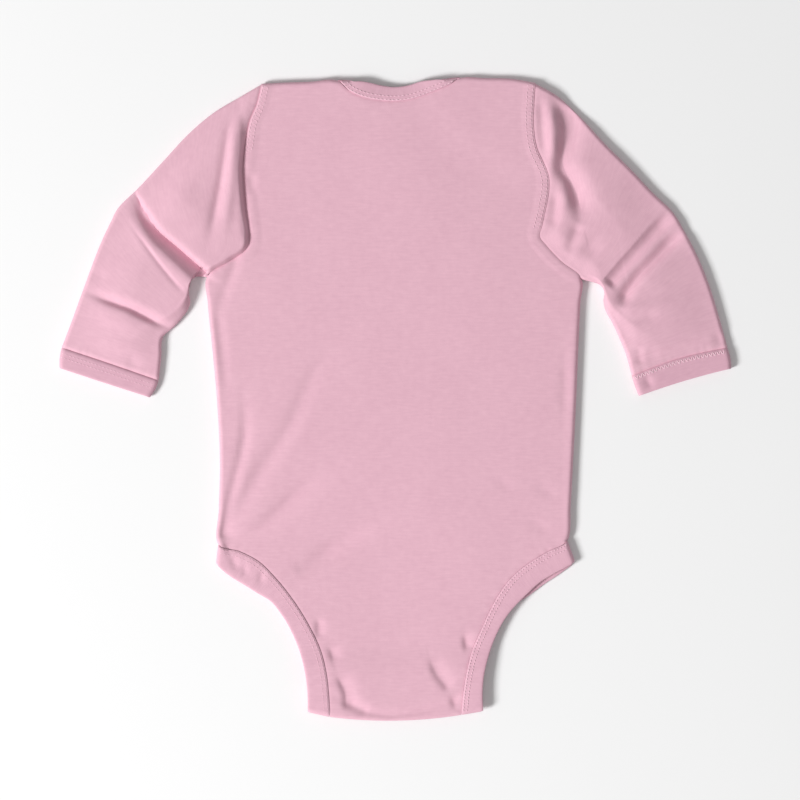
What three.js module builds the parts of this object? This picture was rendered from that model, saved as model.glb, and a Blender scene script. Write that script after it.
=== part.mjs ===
import * as THREE from 'three';

// Baby onesie, long sleeved, laid flat on its front so that its back is up
// Millimetres: +X to the right, +Y to the neck, +Z up, lying on z = 0
// Left and right are those of someone looking down on it

// Driving sizes of the cloth
const cloth = 1.0;
const bandCloth = 1.8;
const seamGap = 0.3;
const foldRound = 3.5;
const halfCloth = cloth / 2;
const halfGap = seamGap / 2;

// Heights of the middle of each layer, in the flat parts of the garment
const edgeHeight = 2.45;
const bottomLayer = halfCloth;
const sleeveTop = 4.3;
const overlapLayer = 3.0;
const overlapTop = 4.9;
const highestFold = 5.3;
const layerAir = 0.3;

// Height of the layers along the body: y, front panel, turned-under tail, back panel
const layerRows = [
  { y: 220, front: 0.5, tail: 3.9, back: 4.2 },
  { y: -60, front: 0.5, tail: 3.9, back: 4.2 },
  { y: -125, front: 0.5, tail: 3.9, back: 3.7 },
  { y: -156, front: 0.7, tail: 3.9, back: 4.5 },
  { y: -176, front: 1.8, tail: 3.9, back: 6.0 },
  { y: -220, front: 1.8, tail: 3.9, back: 6.0 },
];

// Cross sections of the body from shoulder to crotch: the ends of each at its left and right seams
const bodyRows = [
  { name: 'shoulder', leftX: -85.4, leftY: 201.6, rightX: 89.3, rightY: 202.2 },
  { name: 'armhole', leftX: -88.6, leftY: 188.2, rightX: 88.3, rightY: 188.2 },
  { name: 'armhole', leftX: -93.1, leftY: 177.3, rightX: 88, rightY: 176 },
  { name: 'armhole', leftX: -95.7, leftY: 162.6, rightX: 89.9, rightY: 161.3 },
  { name: 'armhole', leftX: -97.3, leftY: 146.6, rightX: 96.3, rightY: 146.6 },
  { name: 'armhole', leftX: -96, leftY: 124.2, rightX: 96.3, rightY: 124.2 },
  { name: 'armhole', leftX: -93.4, leftY: 104.3, rightX: 92.5, rightY: 104.3 },
  { name: 'armhole corner', leftX: -95, leftY: 96, rightX: 96.3, rightY: 95.4 },
  { name: 'underarm', leftX: -105.9, leftY: 88, rightX: 105.3, rightY: 85.4 },
  { name: 'armpit', leftX: -120.6, leftY: 77.8, rightX: 119, rightY: 76.5 },
  { name: 'side', leftX: -120, leftY: 60.8, rightX: 118.1, rightY: 60.8 },
  { name: 'side', leftX: -117.1, leftY: 31.4, rightX: 116.8, rightY: 31.4 },
  { name: 'side', leftX: -114.2, leftY: -0.6, rightX: 115.5, rightY: -0.6 },
  { name: 'side', leftX: -112.3, leftY: -39, rightX: 113.6, rightY: -39 },
  { name: 'side', leftX: -113, leftY: -69.8, rightX: 112, rightY: -67.8 },
  { name: 'hip', leftX: -113.3, leftY: -93.1, rightX: 109.8, rightY: -90.6 },
  { name: 'leg', leftX: -99.5, leftY: -97.6, rightX: 97.3, rightY: -97.3 },
  { name: 'leg', leftX: -87.4, leftY: -104, rightX: 85.4, rightY: -104.6 },
  { name: 'leg', leftX: -77.8, leftY: -113.3, rightX: 74.6, rightY: -113.3 },
  { name: 'leg', leftX: -69.4, leftY: -123.2, rightX: 66.6, rightY: -123.5 },
  { name: 'leg', leftX: -61.1, leftY: -135, rightX: 60.2, rightY: -135 },
  { name: 'leg', leftX: -53.4, leftY: -148.5, rightX: 54.1, rightY: -148.5 },
  { name: 'leg', leftX: -47.7, leftY: -161.3, rightX: 48.6, rightY: -161.3 },
  { name: 'leg', leftX: -44.2, leftY: -175.4, rightX: 45.1, rightY: -175.4 },
  { name: 'leg', leftX: -42.7, leftY: -188.8, rightX: 43.2, rightY: -187.8 },
  { name: 'crotch', leftX: -41.9, leftY: -202.9, rightX: 41.9, rightY: -201.6 },
];
const armpitRow = 9;
const hipRow = 15;
const crotchRow = bodyRows.length - 1;
const crotchSag = 3;

// Top edge of the back from shoulder to shoulder, with the free edge of the binding in the neck
const topRows = [
  { name: 'shoulder', x: -85.4, y: 201.6 },
  { name: 'shoulder', x: -70.1, y: 202.4 },
  { name: 'shoulder', x: -54.1, y: 202.9 },
  { name: 'neck fold', x: -38.1, y: 203.8, freeX: -28.5, freeY: 203.8 },
  { name: 'neck', x: -29.8, y: 196.9, freeX: -23.7, freeY: 203.2 },
  { name: 'neck', x: -20.2, y: 192.6, freeX: -17, freeY: 202.2 },
  { name: 'neck', x: -10.6, y: 190.8, freeX: -9, freeY: 200.3 },
  { name: 'neck', x: -0.3, y: 190.1, freeX: -0.3, freeY: 199.3 },
  { name: 'neck', x: 9.9, y: 191.4, freeX: 8.3, freeY: 200.4 },
  { name: 'neck', x: 20.2, y: 194.8, freeX: 16.3, freeY: 202.9 },
  { name: 'neck', x: 29.1, y: 198.4, freeX: 23.7, freeY: 203.8 },
  { name: 'neck', x: 35.5, y: 201.3, freeX: 28.5, freeY: 204.3 },
  { name: 'neck fold', x: 42.6, y: 205.5, freeX: 33, freeY: 204.8 },
  { name: 'shoulder', x: 57.9, y: 205.2 },
  { name: 'shoulder', x: 73.9, y: 204.8 },
  { name: 'shoulder', x: 89.3, y: 202.2 },
];
const neckFirst = 3;
const neckLast = 12;
const topLast = topRows.length - 1;

// Bound edge of each shoulder flap on the under side, from the armhole to the neck fold
const leftFlapRows = [
  { x: -95.7, y: 162.6, freeX: -94.7, freeY: 153.6 },
  { x: -77.1, y: 166.4, freeX: -73.9, freeY: 158.1 },
  { x: -61.1, y: 174.1, freeX: -56, freeY: 166.7 },
  { x: -48.3, y: 184.3, freeX: -41, freeY: 179.2 },
  { x: -40, y: 196.5, freeX: -30.7, freeY: 194.2 },
  { x: -38.1, y: 203.8, freeX: -28.5, freeY: 203.8 },
];
const rightFlapRows = [
  { x: 89.9, y: 161.3, freeX: 89, freeY: 152.3 },
  { x: 80.3, y: 166.4, freeX: 76.5, freeY: 158.1 },
  { x: 65, y: 174.7, freeX: 59.5, freeY: 167.4 },
  { x: 52.8, y: 185, freeX: 45.4, freeY: 180.2 },
  { x: 44.5, y: 197.8, freeX: 35.2, freeY: 195.5 },
  { x: 42.6, y: 205.5, freeX: 33, freeY: 204.8 },
];
const flapArmholeRow = 3;

// Neck edge of the front panel, from armhole to armhole
const frontNeckRows = [
  { x: -90.8, y: 183.7 },
  { x: -61.1, y: 176 },
  { x: -34.2, y: 161.9 },
  { x: 0.3, y: 151.7 },
  { x: 34.9, y: 161.9 },
  { x: 62.4, y: 176 },
  { x: 88.2, y: 183.3 },
];

// Cross sections of the sleeves from armhole to cuff, between the outer and inner folded edges
const leftSleeveRows = [
  { outerX: -85.4, outerY: 201.6, innerX: -120.6, innerY: 77.8 },
  { outerX: -99.5, outerY: 193.3, innerX: -125.1, innerY: 78.1 },
  { outerX: -115.5, outerY: 183.7, innerX: -128.6, innerY: 77.6 },
  { outerX: -131.5, outerY: 170.2, innerX: -131.5, innerY: 75.5 },
  { outerX: -147.5, outerY: 153, innerX: -133.8, innerY: 71.7 },
  { outerX: -163.5, outerY: 135.7, innerX: -133.4, innerY: 67.2 },
  { outerX: -177, outerY: 122.2, innerX: -131.5, innerY: 62.7 },
  { outerX: -181.4, outerY: 113.9, innerX: -133.4, innerY: 56.3 },
  { outerX: -189.1, outerY: 97.3, innerX: -141.1, innerY: 46.7 },
  { outerX: -198.7, outerY: 71.7, innerX: -149.1, innerY: 39 },
  { outerX: -208.3, outerY: 45.4, innerX: -150.1, innerY: 26.9 },
  { outerX: -213.1, outerY: 33, innerX: -151.7, innerY: 11.8 },
];
const rightSleeveRows = [
  { outerX: 89.3, outerY: 202.2, innerX: 119, innerY: 76.5 },
  { outerX: 102.7, outerY: 194.6, innerX: 122.6, innerY: 75.5 },
  { outerX: 118.1, outerY: 180.5, innerX: 126.4, innerY: 74.6 },
  { outerX: 133.4, outerY: 163.8, innerX: 130.2, innerY: 73.3 },
  { outerX: 150.1, outerY: 147.2, innerX: 132.8, innerY: 71 },
  { outerX: 164.2, outerY: 132.2, innerX: 134.1, innerY: 67.2 },
  { outerX: 177, outerY: 119.7, innerX: 133.4, innerY: 62.7 },
  { outerX: 184, outerY: 108.2, innerX: 134.7, innerY: 56.3 },
  { outerX: 193, outerY: 90.9, innerX: 138.6, innerY: 49.3 },
  { outerX: 200.6, outerY: 71.7, innerX: 143.7, innerY: 38.4 },
  { outerX: 207, outerY: 50.6, innerX: 147.8, innerY: 28.2 },
  { outerX: 211.8, outerY: 33, innerX: 151.4, innerY: 15 },
];

// Cuffs: the two ends of the seam, a point in its middle, and the same of the wrist edge
const cuffRows = {
  left: [
    { outerX: -213.4, outerY: 33, midX: -182.7, midY: 22.7, innerX: -151.4, innerY: 11.8 },
    { outerX: -214.7, outerY: 26.2, midX: -184.6, midY: 16.3, innerX: -153.3, innerY: 6.7 },
    { outerX: -214.7, outerY: 19.8, midX: -187.2, midY: 10.7, innerX: -156.8, innerY: 1 },
  ],
  right: [
    { outerX: 212.2, outerY: 33, midX: 180.8, midY: 25.9, innerX: 151, innerY: 15 },
    { outerX: 214.1, outerY: 26.2, midX: 183.4, midY: 18.6, innerX: 153, innerY: 8.3 },
    { outerX: 214.7, outerY: 19.5, midX: 185.3, midY: 11.8, innerX: 155.5, innerY: 1.9 },
  ],
};

// Free edge of the leg bindings at each body section from hip to crotch
const legEdgeRows = [
  { leftX: -114.9, leftY: -105.6, rightX: 114.9, rightY: -104.3 },
  { leftX: -106.6, leftY: -112.6, rightX: 103.4, rightY: -110.4 },
  { leftX: -96.3, leftY: -119, rightX: 93.1, rightY: -116.5 },
  { leftX: -88, leftY: -124.2, rightX: 84.2, rightY: -124.5 },
  { leftX: -79.7, leftY: -129.3, rightX: 76.5, rightY: -132.2 },
  { leftX: -72, leftY: -138.9, rightX: 70.4, rightY: -139.8 },
  { leftX: -65.9, leftY: -149.8, rightX: 64, rightY: -151.7 },
  { leftX: -60.8, leftY: -162.6, rightX: 59.5, rightY: -164.2 },
  { leftX: -57.6, leftY: -176, rightX: 56.6, rightY: -176.6 },
  { leftX: -56.2, leftY: -188.8, rightX: 55.7, rightY: -187.8 },
  { leftX: -56, leftY: -200.3, rightX: 56, rightY: -199.7 },
];

// Largest folds: three points along each, depth of a trough (a ridge is negative), and how far
// the slope reaches to its left and right, seen from its first point
const foldRows = [
  {
    name: 'left elbow trough', depth: 2.8, reach: [4, 7],
    path: [[-172.5, 133.8], [-152, 106.2], [-123.2, 80.6]],
  },
  {
    name: 'left elbow ridge', depth: -0.9, reach: [5, 6],
    path: [[-169.9, 118.4], [-150.7, 90.9], [-135.4, 71]],
  },
  {
    name: 'left armhole trough', depth: 2.4, reach: [3, 6],
    path: [[-99.5, 189.4], [-97.9, 146.6], [-94.4, 99.8]],
  },
  {
    name: 'left forearm fold', depth: 1.6, reach: [4, 6],
    path: [[-196.8, 65.9], [-169.9, 56.3], [-143, 45.4]],
  },
  {
    name: 'right shoulder trough', depth: 2.2, reach: [5, 5],
    path: [[104, 191.4], [107.8, 156.2], [119.4, 110.7]],
  },
  {
    name: 'right shoulder ridge', depth: -0.7, reach: [4, 4],
    path: [[97, 183.7], [99.5, 169], [98.9, 153]],
  },
  {
    name: 'right armhole fold', depth: 1.4, reach: [5, 5],
    path: [[116.8, 113.3], [114.2, 103], [109.8, 92.8]],
  },
  {
    name: 'right elbow crease', depth: 2.0, reach: [4, 5],
    path: [[174.4, 122.2], [151.4, 98.6], [132.2, 75.5]],
  },
  {
    name: 'right elbow ridge', depth: -0.8, reach: [4, 4],
    path: [[173.1, 113.3], [152.6, 91.5], [139.2, 77.4]],
  },
  {
    name: 'right elbow fold', depth: 1.6, reach: [6, 6],
    path: [[178.2, 111.4], [159, 92.2], [139.8, 63.4]],
  },
  {
    name: 'left side fold', depth: 0.8, reach: [5, 5],
    path: [[-111, -89], [-100.8, -45.4], [-98.2, 2.6]],
  },
  {
    name: 'left hip ridge', depth: -0.5, reach: [6, 6],
    path: [[-107.2, -83.8], [-97.6, -53.1], [-85.4, -30.1]],
  },
  {
    name: 'left hip fold', depth: 0.9, reach: [6, 8],
    path: [[-110.4, -89], [-79, -35.2], [-29.1, 41.6]],
  },
  {
    name: 'left hip soft fold', depth: 0.6, reach: [8, 8],
    path: [[-107.2, -92.2], [-73.9, -71], [-38.1, -41.6]],
  },
  {
    name: 'seat soft fold', depth: 0.6, reach: [8, 8],
    path: [[-63.7, -113.3], [-35.5, -93.4], [-11.2, -78.7]],
  },
  {
    name: 'underarm fold', depth: 0.7, reach: [5, 5],
    path: [[-100.8, 91.5], [-107.8, 69.8], [-113, 44.2]],
  },
  {
    name: 'left crotch fold', depth: 0.8, reach: [5, 5],
    path: [[-37.4, -174.7], [-33.6, -186.2], [-30.4, -196.5]],
  },
  {
    name: 'right crotch fold', depth: 0.8, reach: [5, 5],
    path: [[23.4, -167.7], [29.1, -179.8], [36.2, -186.2]],
  },
];
const foldSteps = 10;
const foldTaper = 0.3;
const foldEndShare = 0.25;

// Stops of the meshes: places between the rows of the tables above
const foldRow = 0.04;
const armholeStops = [foldRow, 0.09, 0.2, 0.36, 0.7, 1.4, 2, 3, 4, 5, 6, 6.5, 7, 7.6, 8.3, 8.8, armpitRow];
const underStops = [foldRow, 0.09, 0.2, 0.7, 1.4, 2, 3, 4, 5, 6, 7, 8.3, 8.8, armpitRow];
const flapStops = underStops.filter(row => row <= flapArmholeRow);
const sideStops = span(armpitRow, hipRow, 17).slice(1);
const crotchFoldRow = 24.98;
const legStops = [15.5, 16, 17, 18, 19, 20, 21, 22, 23, 24, 24.6];
const hipStops = [15.07, 15.2];
const crotchStops = [24.85, 24.95, crotchFoldRow];
const tailStops = [24.94, 24.8, 24.4, 23.9, 23.6];
const frontSideStops = [10, 11.5, 13, 14.5, hipRow];
const frontStops = [...underStops.filter(row => row >= 1.4), ...frontSideStops, ...legStops];
const topStops = [
  0, 0.04, 0.12, 0.28, 0.8, 1.5, 2.2, neckFirst,
  3.12, 3.4, 4, 5, 6, 7, 8, 9, 10, 11, 11.6, 11.88,
  neckLast, 12.8, 13.5, 14.2, 14.72, 14.88, 14.96, topLast,
];
const frontAcross = [
  0, 0.006, 0.02, 0.045, 0.11, 0.2, 0.3, 0.4, 0.5, 0.6, 0.7, 0.8, 0.89, 0.955, 0.98, 0.994, 1,
];
const cornerEase = 0.04;
const insetRows = 0.4;
const neckFadeRow = 8;
const crotchFadeRows = 3;
const lineStep = 0.02;
const topSamples = 12;
const sideSamples = 40;
const sleeveSamples = 60;
const sleeveStops = span(0, leftSleeveRows.length - 1, 19);
const bandAcross = [0, 0.14, 0.5, 0.86, 1];
const seamWall = 1.3;
const bandEdgeWall = 1.0;
const wristWall = 1.2;
const bandWalls = [seamWall, bandCloth, bandCloth, bandCloth, bandEdgeWall];
const cuffAcross = [0, 0.008, 0.03, 0.07, 0.2, 0.35, 0.5, 0.65, 0.8, 0.93, 0.97, 0.992, 1];
const cuffStops = [0, 0.25, 1, 1.75, 2];
const cuffTopLayer = 4.1;
const bandLayer = bandCloth / 2;
const neckBandWidth = 9;
const foldRoom = 1.4;
const foldReachRows = 1.5;
const foldRoomFrom = 0.2;
const foldSlip = 1.2;
const hipRoom = 2;
const frontNeckCorner = 0.75;
const frontNeckFullness = 0.25;

// Snaps of the crotch: low dished caps under the front flap
const snapRadius = 4.75;
const snapDish = 2.9;
const snapHeight = 1.0;
const snapRound = 0.3;
const snapSpacing = 28;
const snapCentre = { x: 0.3, y: -186 };
const snapSides = 20;

// Evenly spaced values from one number to another
function span(from, to, steps) {
  return Array.from({ length: steps + 1 }, (_, step) => from + ((to - from) * step) / steps);
}

// A smooth line in plan through two named columns; the place along it is the row number
function planLine(rows, xKey, yKey) {
  const points = rows.map(row => new THREE.Vector3(row[xKey], row[yKey], 0));
  const curve = new THREE.CatmullRomCurve3(points, false, 'centripetal');
  return place => curve.getPoint(clamp(place / (rows.length - 1), 0, 1));
}

// The point beside a line, on the left of someone going along it
function beside(line, place, distance) {
  const direction = line(place + lineStep).sub(line(place - lineStep)).normalize();
  return line(place).add(new THREE.Vector3(-direction.y, direction.x, 0).multiplyScalar(distance));
}

function clamp(value, low, high) {
  return Math.min(Math.max(value, low), high);
}

function smooth(value, from, to) {
  return THREE.MathUtils.smoothstep(value, from, to);
}

function mix(a, b, share) {
  return a.clone().lerp(b, share);
}

function mixNumber(a, b, share) {
  return a + (b - a) * share;
}

// A rise from nothing at both ends of a share to 1 in its middle
function arch(share) {
  return 4 * share * (1 - share);
}

const bodyLeft = planLine(bodyRows, 'leftX', 'leftY');
const bodyRight = planLine(bodyRows, 'rightX', 'rightY');
const topLine = planLine(topRows, 'x', 'y');
const neckFree = planLine(topRows.slice(neckFirst, neckLast + 1), 'freeX', 'freeY');
const frontNeck = planLine(frontNeckRows, 'x', 'y');

// Distance in plan from a point to a run of points
function distanceTo(points, x, y) {
  let nearest = Infinity;
  for (let k = 1; k < points.length; k += 1) {
    const a = points[k - 1];
    const b = points[k];
    const length = (b.x - a.x) ** 2 + (b.y - a.y) ** 2;
    const along = clamp(((x - a.x) * (b.x - a.x) + (y - a.y) * (b.y - a.y)) / length, 0, 1);
    const away = Math.hypot(x - a.x - along * (b.x - a.x), y - a.y - along * (b.y - a.y));
    nearest = Math.min(nearest, away);
  }
  return nearest;
}

// Whether a point lies inside a closed outline
function isInside(points, x, y) {
  let inside = false;
  points.forEach((a, k) => {
    const b = points[(k + 1) % points.length];
    const crosses = (a.y > y) !== (b.y > y);
    if (crosses && x < a.x + ((y - a.y) * (b.x - a.x)) / (b.y - a.y)) inside = !inside;
  });
  return inside;
}

// Folded edges of the garment, where the top layer turns over to the bottom one
function samples(line, from, to, steps) {
  return span(from, to, steps).map(place => line(place));
}

const sleeveEnd = leftSleeveRows.length - 1;
const foldedEdges = [
  [...samples(topLine, 0, neckFirst, topSamples), neckFree(0)],
  [neckFree(neckLast - neckFirst), ...samples(topLine, neckLast, topLast, topSamples)],
  samples(bodyLeft, armpitRow, hipRow, sideSamples),
  samples(bodyRight, armpitRow, hipRow, sideSamples),
  samples(planLine(leftSleeveRows, 'outerX', 'outerY'), 0, sleeveEnd, sleeveSamples),
  samples(planLine(leftSleeveRows, 'innerX', 'innerY'), 0, sleeveEnd, sleeveSamples),
  samples(planLine(rightSleeveRows, 'outerX', 'outerY'), 0, sleeveEnd, sleeveSamples),
  samples(planLine(rightSleeveRows, 'innerX', 'innerY'), 0, sleeveEnd, sleeveSamples),
];

// How far the cloth has turned over: 0 on a folded edge, 1 where it lies flat
function turned(distance) {
  const share = 1 - clamp(distance / foldRound, 0, 1);
  return Math.sqrt(1 - share * share);
}

function fromFoldedEdge(x, y) {
  return Math.min(...foldedEdges.map(edge => distanceTo(edge, x, y))) - halfCloth;
}

// Outline of each shoulder flap with its binding, where the layers lie thickest
const overlapMargin = 3;
const overlapFade = 24;
const freeEdge = rows => rows.slice(0, -1).reverse().map(row => ({ x: row.freeX, y: row.freeY }));
const overlaps = [
  [topLine(0), neckFree(0), ...freeEdge(leftFlapRows)],
  [topLine(topLast), neckFree(neckLast - neckFirst), ...freeEdge(rightFlapRows)],
];

function overlapAt(x, y) {
  let share = 0;
  for (const outline of overlaps) {
    const away = isInside(outline, x, y) ? 0 : distanceTo([...outline, outline[0]], x, y);
    share = Math.max(share, 1 - smooth(away, overlapMargin, overlapMargin + overlapFade));
  }
  return share;
}

// Height of a layer at a place along the body
function layerAt(name, y) {
  const next = layerRows.findIndex(row => row.y <= y);
  if (next <= 0) return layerRows[next === 0 ? 0 : layerRows.length - 1][name];
  const above = layerRows[next - 1];
  const below = layerRows[next];
  return mixNumber(above[name], below[name], smooth(-y, -above.y, -below.y));
}

function frontLayerAt(x, y) {
  return layerAt('front', y) + (overlapLayer - bottomLayer) * overlapAt(x, y);
}

// Folds pressed into the top layer
const foldLines = foldRows.map(row => {
  const curve = new THREE.CatmullRomCurve3(row.path.map(([x, y]) => new THREE.Vector3(x, y, 0)));
  return { ...row, points: curve.getPoints(foldSteps) };
});

function foldAt(fold, x, y) {
  let nearest = Infinity;
  let side = 1;
  let along = 0;
  for (let k = 1; k < fold.points.length; k += 1) {
    const a = fold.points[k - 1];
    const b = fold.points[k];
    const dx = b.x - a.x;
    const dy = b.y - a.y;
    const share = clamp(((x - a.x) * dx + (y - a.y) * dy) / (dx * dx + dy * dy), 0, 1);
    const away = Math.hypot(x - a.x - share * dx, y - a.y - share * dy);
    if (away < nearest) {
      nearest = away;
      side = dx * (y - a.y) - dy * (x - a.x);
      along = (k - 1 + share) / (fold.points.length - 1);
    }
  }
  const reach = nearest / (side > 0 ? fold.reach[0] : fold.reach[1]);
  const ends = smooth(along, 0, foldTaper) * smooth(1 - along, 0, foldTaper);
  return -fold.depth * Math.exp(-reach * reach) * mixNumber(foldEndShare, 1, ends);
}

// Level of the top layer away from its edges: flat part and folds, clear of what lies under it
function topLevel(x, y, under) {
  const flat = layerAt('back', y) + (overlapTop - sleeveTop) * overlapAt(x, y);
  const folded = foldLines.reduce((height, fold) => height + foldAt(fold, x, y), flat);
  return clamp(folded, under + cloth + layerAir, Math.max(highestFold, flat));
}

// Height beside a fold, from its middle height to the level of a layer
function besideFold(distance, middle, level) {
  return middle + (level - middle) * turned(Math.max(distance, 0));
}

// A rim has one direction where its edges add up to this much, and its wall is kept upright
// where that leaves this much of it
const straightEdge = 0.3;
const uprightShare = 0.4;

// A closed wall round a grid of points in its middle. Cells for which hole() is true are left
// out. rolled() gives 1 or -1 where the cloth leaves an edge straight up or down, and wall()
// the thickness at a point. A tube is joined round its columns.
function clothWall(name, material, grid, { tube = false, hole, rolled, wall } = {}) {
  const rowCount = grid.length;
  const columnCount = grid[0].length;
  const cellColumns = tube ? columnCount : columnCount - 1;
  const isCell = (i, j) => {
    if (j < 0 || j >= rowCount - 1) return false;
    if (!tube && (i < 0 || i >= cellColumns)) return false;
    return !(hole && hole(i, j));
  };
  const wrap = i => (tube ? (i + columnCount) % columnCount : i);
  const index = (i, j) => j * columnCount + wrap(i);
  const faces = [];
  const rims = [];
  for (let j = 0; j < rowCount - 1; j += 1) {
    for (let i = 0; i < cellColumns; i += 1) {
      if (!isCell(i, j)) continue;
      const corners = [index(i, j), index(i, j + 1), index(i + 1, j + 1), index(i + 1, j)];
      faces.push([corners[0], corners[1], corners[2]], [corners[0], corners[2], corners[3]]);
      if (!tube && !isCell(i - 1, j)) rims.push([corners[0], corners[1]]);
      if (!isCell(i, j + 1)) rims.push([corners[1], corners[2]]);
      if (!tube && !isCell(i + 1, j)) rims.push([corners[2], corners[3]]);
      if (!isCell(i, j - 1)) rims.push([corners[3], corners[0]]);
    }
  }
  const isUsed = new Set(faces.flat());
  const edgeDirections = new Map();
  const at = k => grid[Math.floor(k / columnCount)][k % columnCount];
  for (const [a, b] of rims) {
    const direction = at(b).clone().sub(at(a)).setZ(0).normalize();
    for (const k of [a, b]) {
      edgeDirections.set(k, (edgeDirections.get(k) ?? new THREE.Vector3()).clone().add(direction));
    }
  }
  const neighbour = (i, j, di, dj) => {
    const column = i + di;
    const row = j + dj;
    const isOut = row < 0 || row >= rowCount || (!tube && (column < 0 || column >= columnCount));
    const k = isOut ? -1 : index(column, row);
    return k >= 0 && isUsed.has(k) ? at(k) : at(index(i, j));
  };
  const positions = new Array(rowCount * columnCount * 6).fill(0);
  const place = (k, point) => point.toArray(positions, k * 3);
  const lower = rowCount * columnCount;
  for (const k of isUsed) {
    const j = Math.floor(k / columnCount);
    const i = k % columnCount;
    const across = neighbour(i, j, 1, 0).clone().sub(neighbour(i, j, -1, 0));
    const along = neighbour(i, j, 0, 1).clone().sub(neighbour(i, j, 0, -1));
    const roll = rolled ? rolled(i, j) : 0;
    if (roll !== 0) across.set(0, 0, roll);
    const normal = along.cross(across).normalize();
    const edge = edgeDirections.get(k);
    if (edge && roll === 0 && edge.length() > straightEdge) {
      const aside = new THREE.Vector3(-edge.y, edge.x, 0).normalize();
      const upright = normal.clone().addScaledVector(aside, -normal.dot(aside));
      if (upright.length() > uprightShare) normal.copy(upright.normalize());
    }
    const half = (wall ? wall(i, j) : cloth) / 2;
    place(k, at(k).clone().addScaledVector(normal, half));
    place(k + lower, at(k).clone().addScaledVector(normal, -half));
  }
  const triangles = [];
  for (const [a, b, c] of faces) triangles.push(a, b, c, a + lower, c + lower, b + lower);
  for (const [a, b] of rims) triangles.push(b, a, a + lower, b, a + lower, b + lower);
  return closedMesh(name, material, positions, triangles);
}

// A mesh of the points that its triangles use
function closedMesh(name, material, positions, triangles) {
  const renumbered = new Map();
  const kept = [];
  const indices = triangles.map(k => {
    if (!renumbered.has(k)) {
      renumbered.set(k, renumbered.size);
      kept.push(...positions.slice(k * 3, k * 3 + 3));
    }
    return renumbered.get(k);
  });
  const geometry = new THREE.BufferGeometry();
  geometry.setAttribute('position', new THREE.Float32BufferAttribute(kept, 3));
  geometry.setIndex(indices);
  geometry.computeVertexNormals();
  const mesh = new THREE.Mesh(geometry, material);
  mesh.name = name;
  return mesh;
}

// Distance of the middle of the cloth from the outline of the body: half a gap at a seam, half
// the wall at a folded side
function bodyInset(row) {
  const below = smooth(row, armpitRow - insetRows, armpitRow);
  const above = 1 - smooth(row, hipRow, hipRow + insetRows);
  return mixNumber(halfGap, halfCloth, below * above);
}

function armholePoint(side, row, distance) {
  return side === 'left' ? beside(bodyLeft, row, distance) : beside(bodyRight, row, -distance);
}

// A point of the back in plan, from its column along the top edge and its body section
function backPlan(column, row) {
  const top = topLine(column);
  const ends = [topLine(0), topLine(topLast)];
  const share = (top.x - ends[0].x) / (ends[1].x - ends[0].x);
  const point = armholePoint('left', row, bodyInset(row));
  point.lerp(armholePoint('right', row, bodyInset(row)), share);
  const isNeck = column >= neckFirst && column <= neckLast;
  const dip = top.y - ends[0].y - (ends[1].y - ends[0].y) * share - (isNeck ? halfGap : 0);
  point.y += dip * (1 - smooth(row, 0, neckFadeRow));
  point.y -= crotchSag * arch(share) * smooth(row, crotchRow - crotchFadeRows, crotchRow);
  return point;
}

// A point of a shoulder flap in plan: share goes from the armhole to the neck, row down the flap
function flapPlan(side, column, row) {
  const isLeft = side === 'left';
  const line = planLine(isLeft ? leftFlapRows : rightFlapRows, 'x', 'y');
  const inward = isLeft ? halfGap : -halfGap;
  const share = isLeft ? column / neckFirst : (topLast - column) / (topLast - neckLast);
  const down = (row - foldRow) / (flapArmholeRow - foldRow);
  const corner = leftFlapRows.length - 2;
  const top = backPlan(column, foldRow);
  const bottom = beside(line, share * corner, inward);
  const atArmhole = armholePoint(side, row, halfGap);
  const atNeck = beside(line, corner + 1 - down, inward);
  const fromFold = isLeft ? backPlan(neckFirst, foldRow) : backPlan(neckLast, foldRow);
  const fromArmhole = isLeft ? backPlan(0, foldRow) : backPlan(topLast, foldRow);
  const armholeEnd = beside(line, 0, inward);
  const neckEnd = beside(line, corner, inward);
  const point = mix(top, bottom, down);
  point.addScaledVector(atArmhole.sub(mix(fromArmhole, armholeEnd, down)), 1 - share);
  point.addScaledVector(atNeck.sub(mix(fromFold, neckEnd, down)), share);
  return point;
}

const crotchY = bodyRows[crotchRow].leftY;
const crotchMiddle = (layerAt('back', crotchY) + layerAt('tail', crotchY)) / 2;

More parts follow.
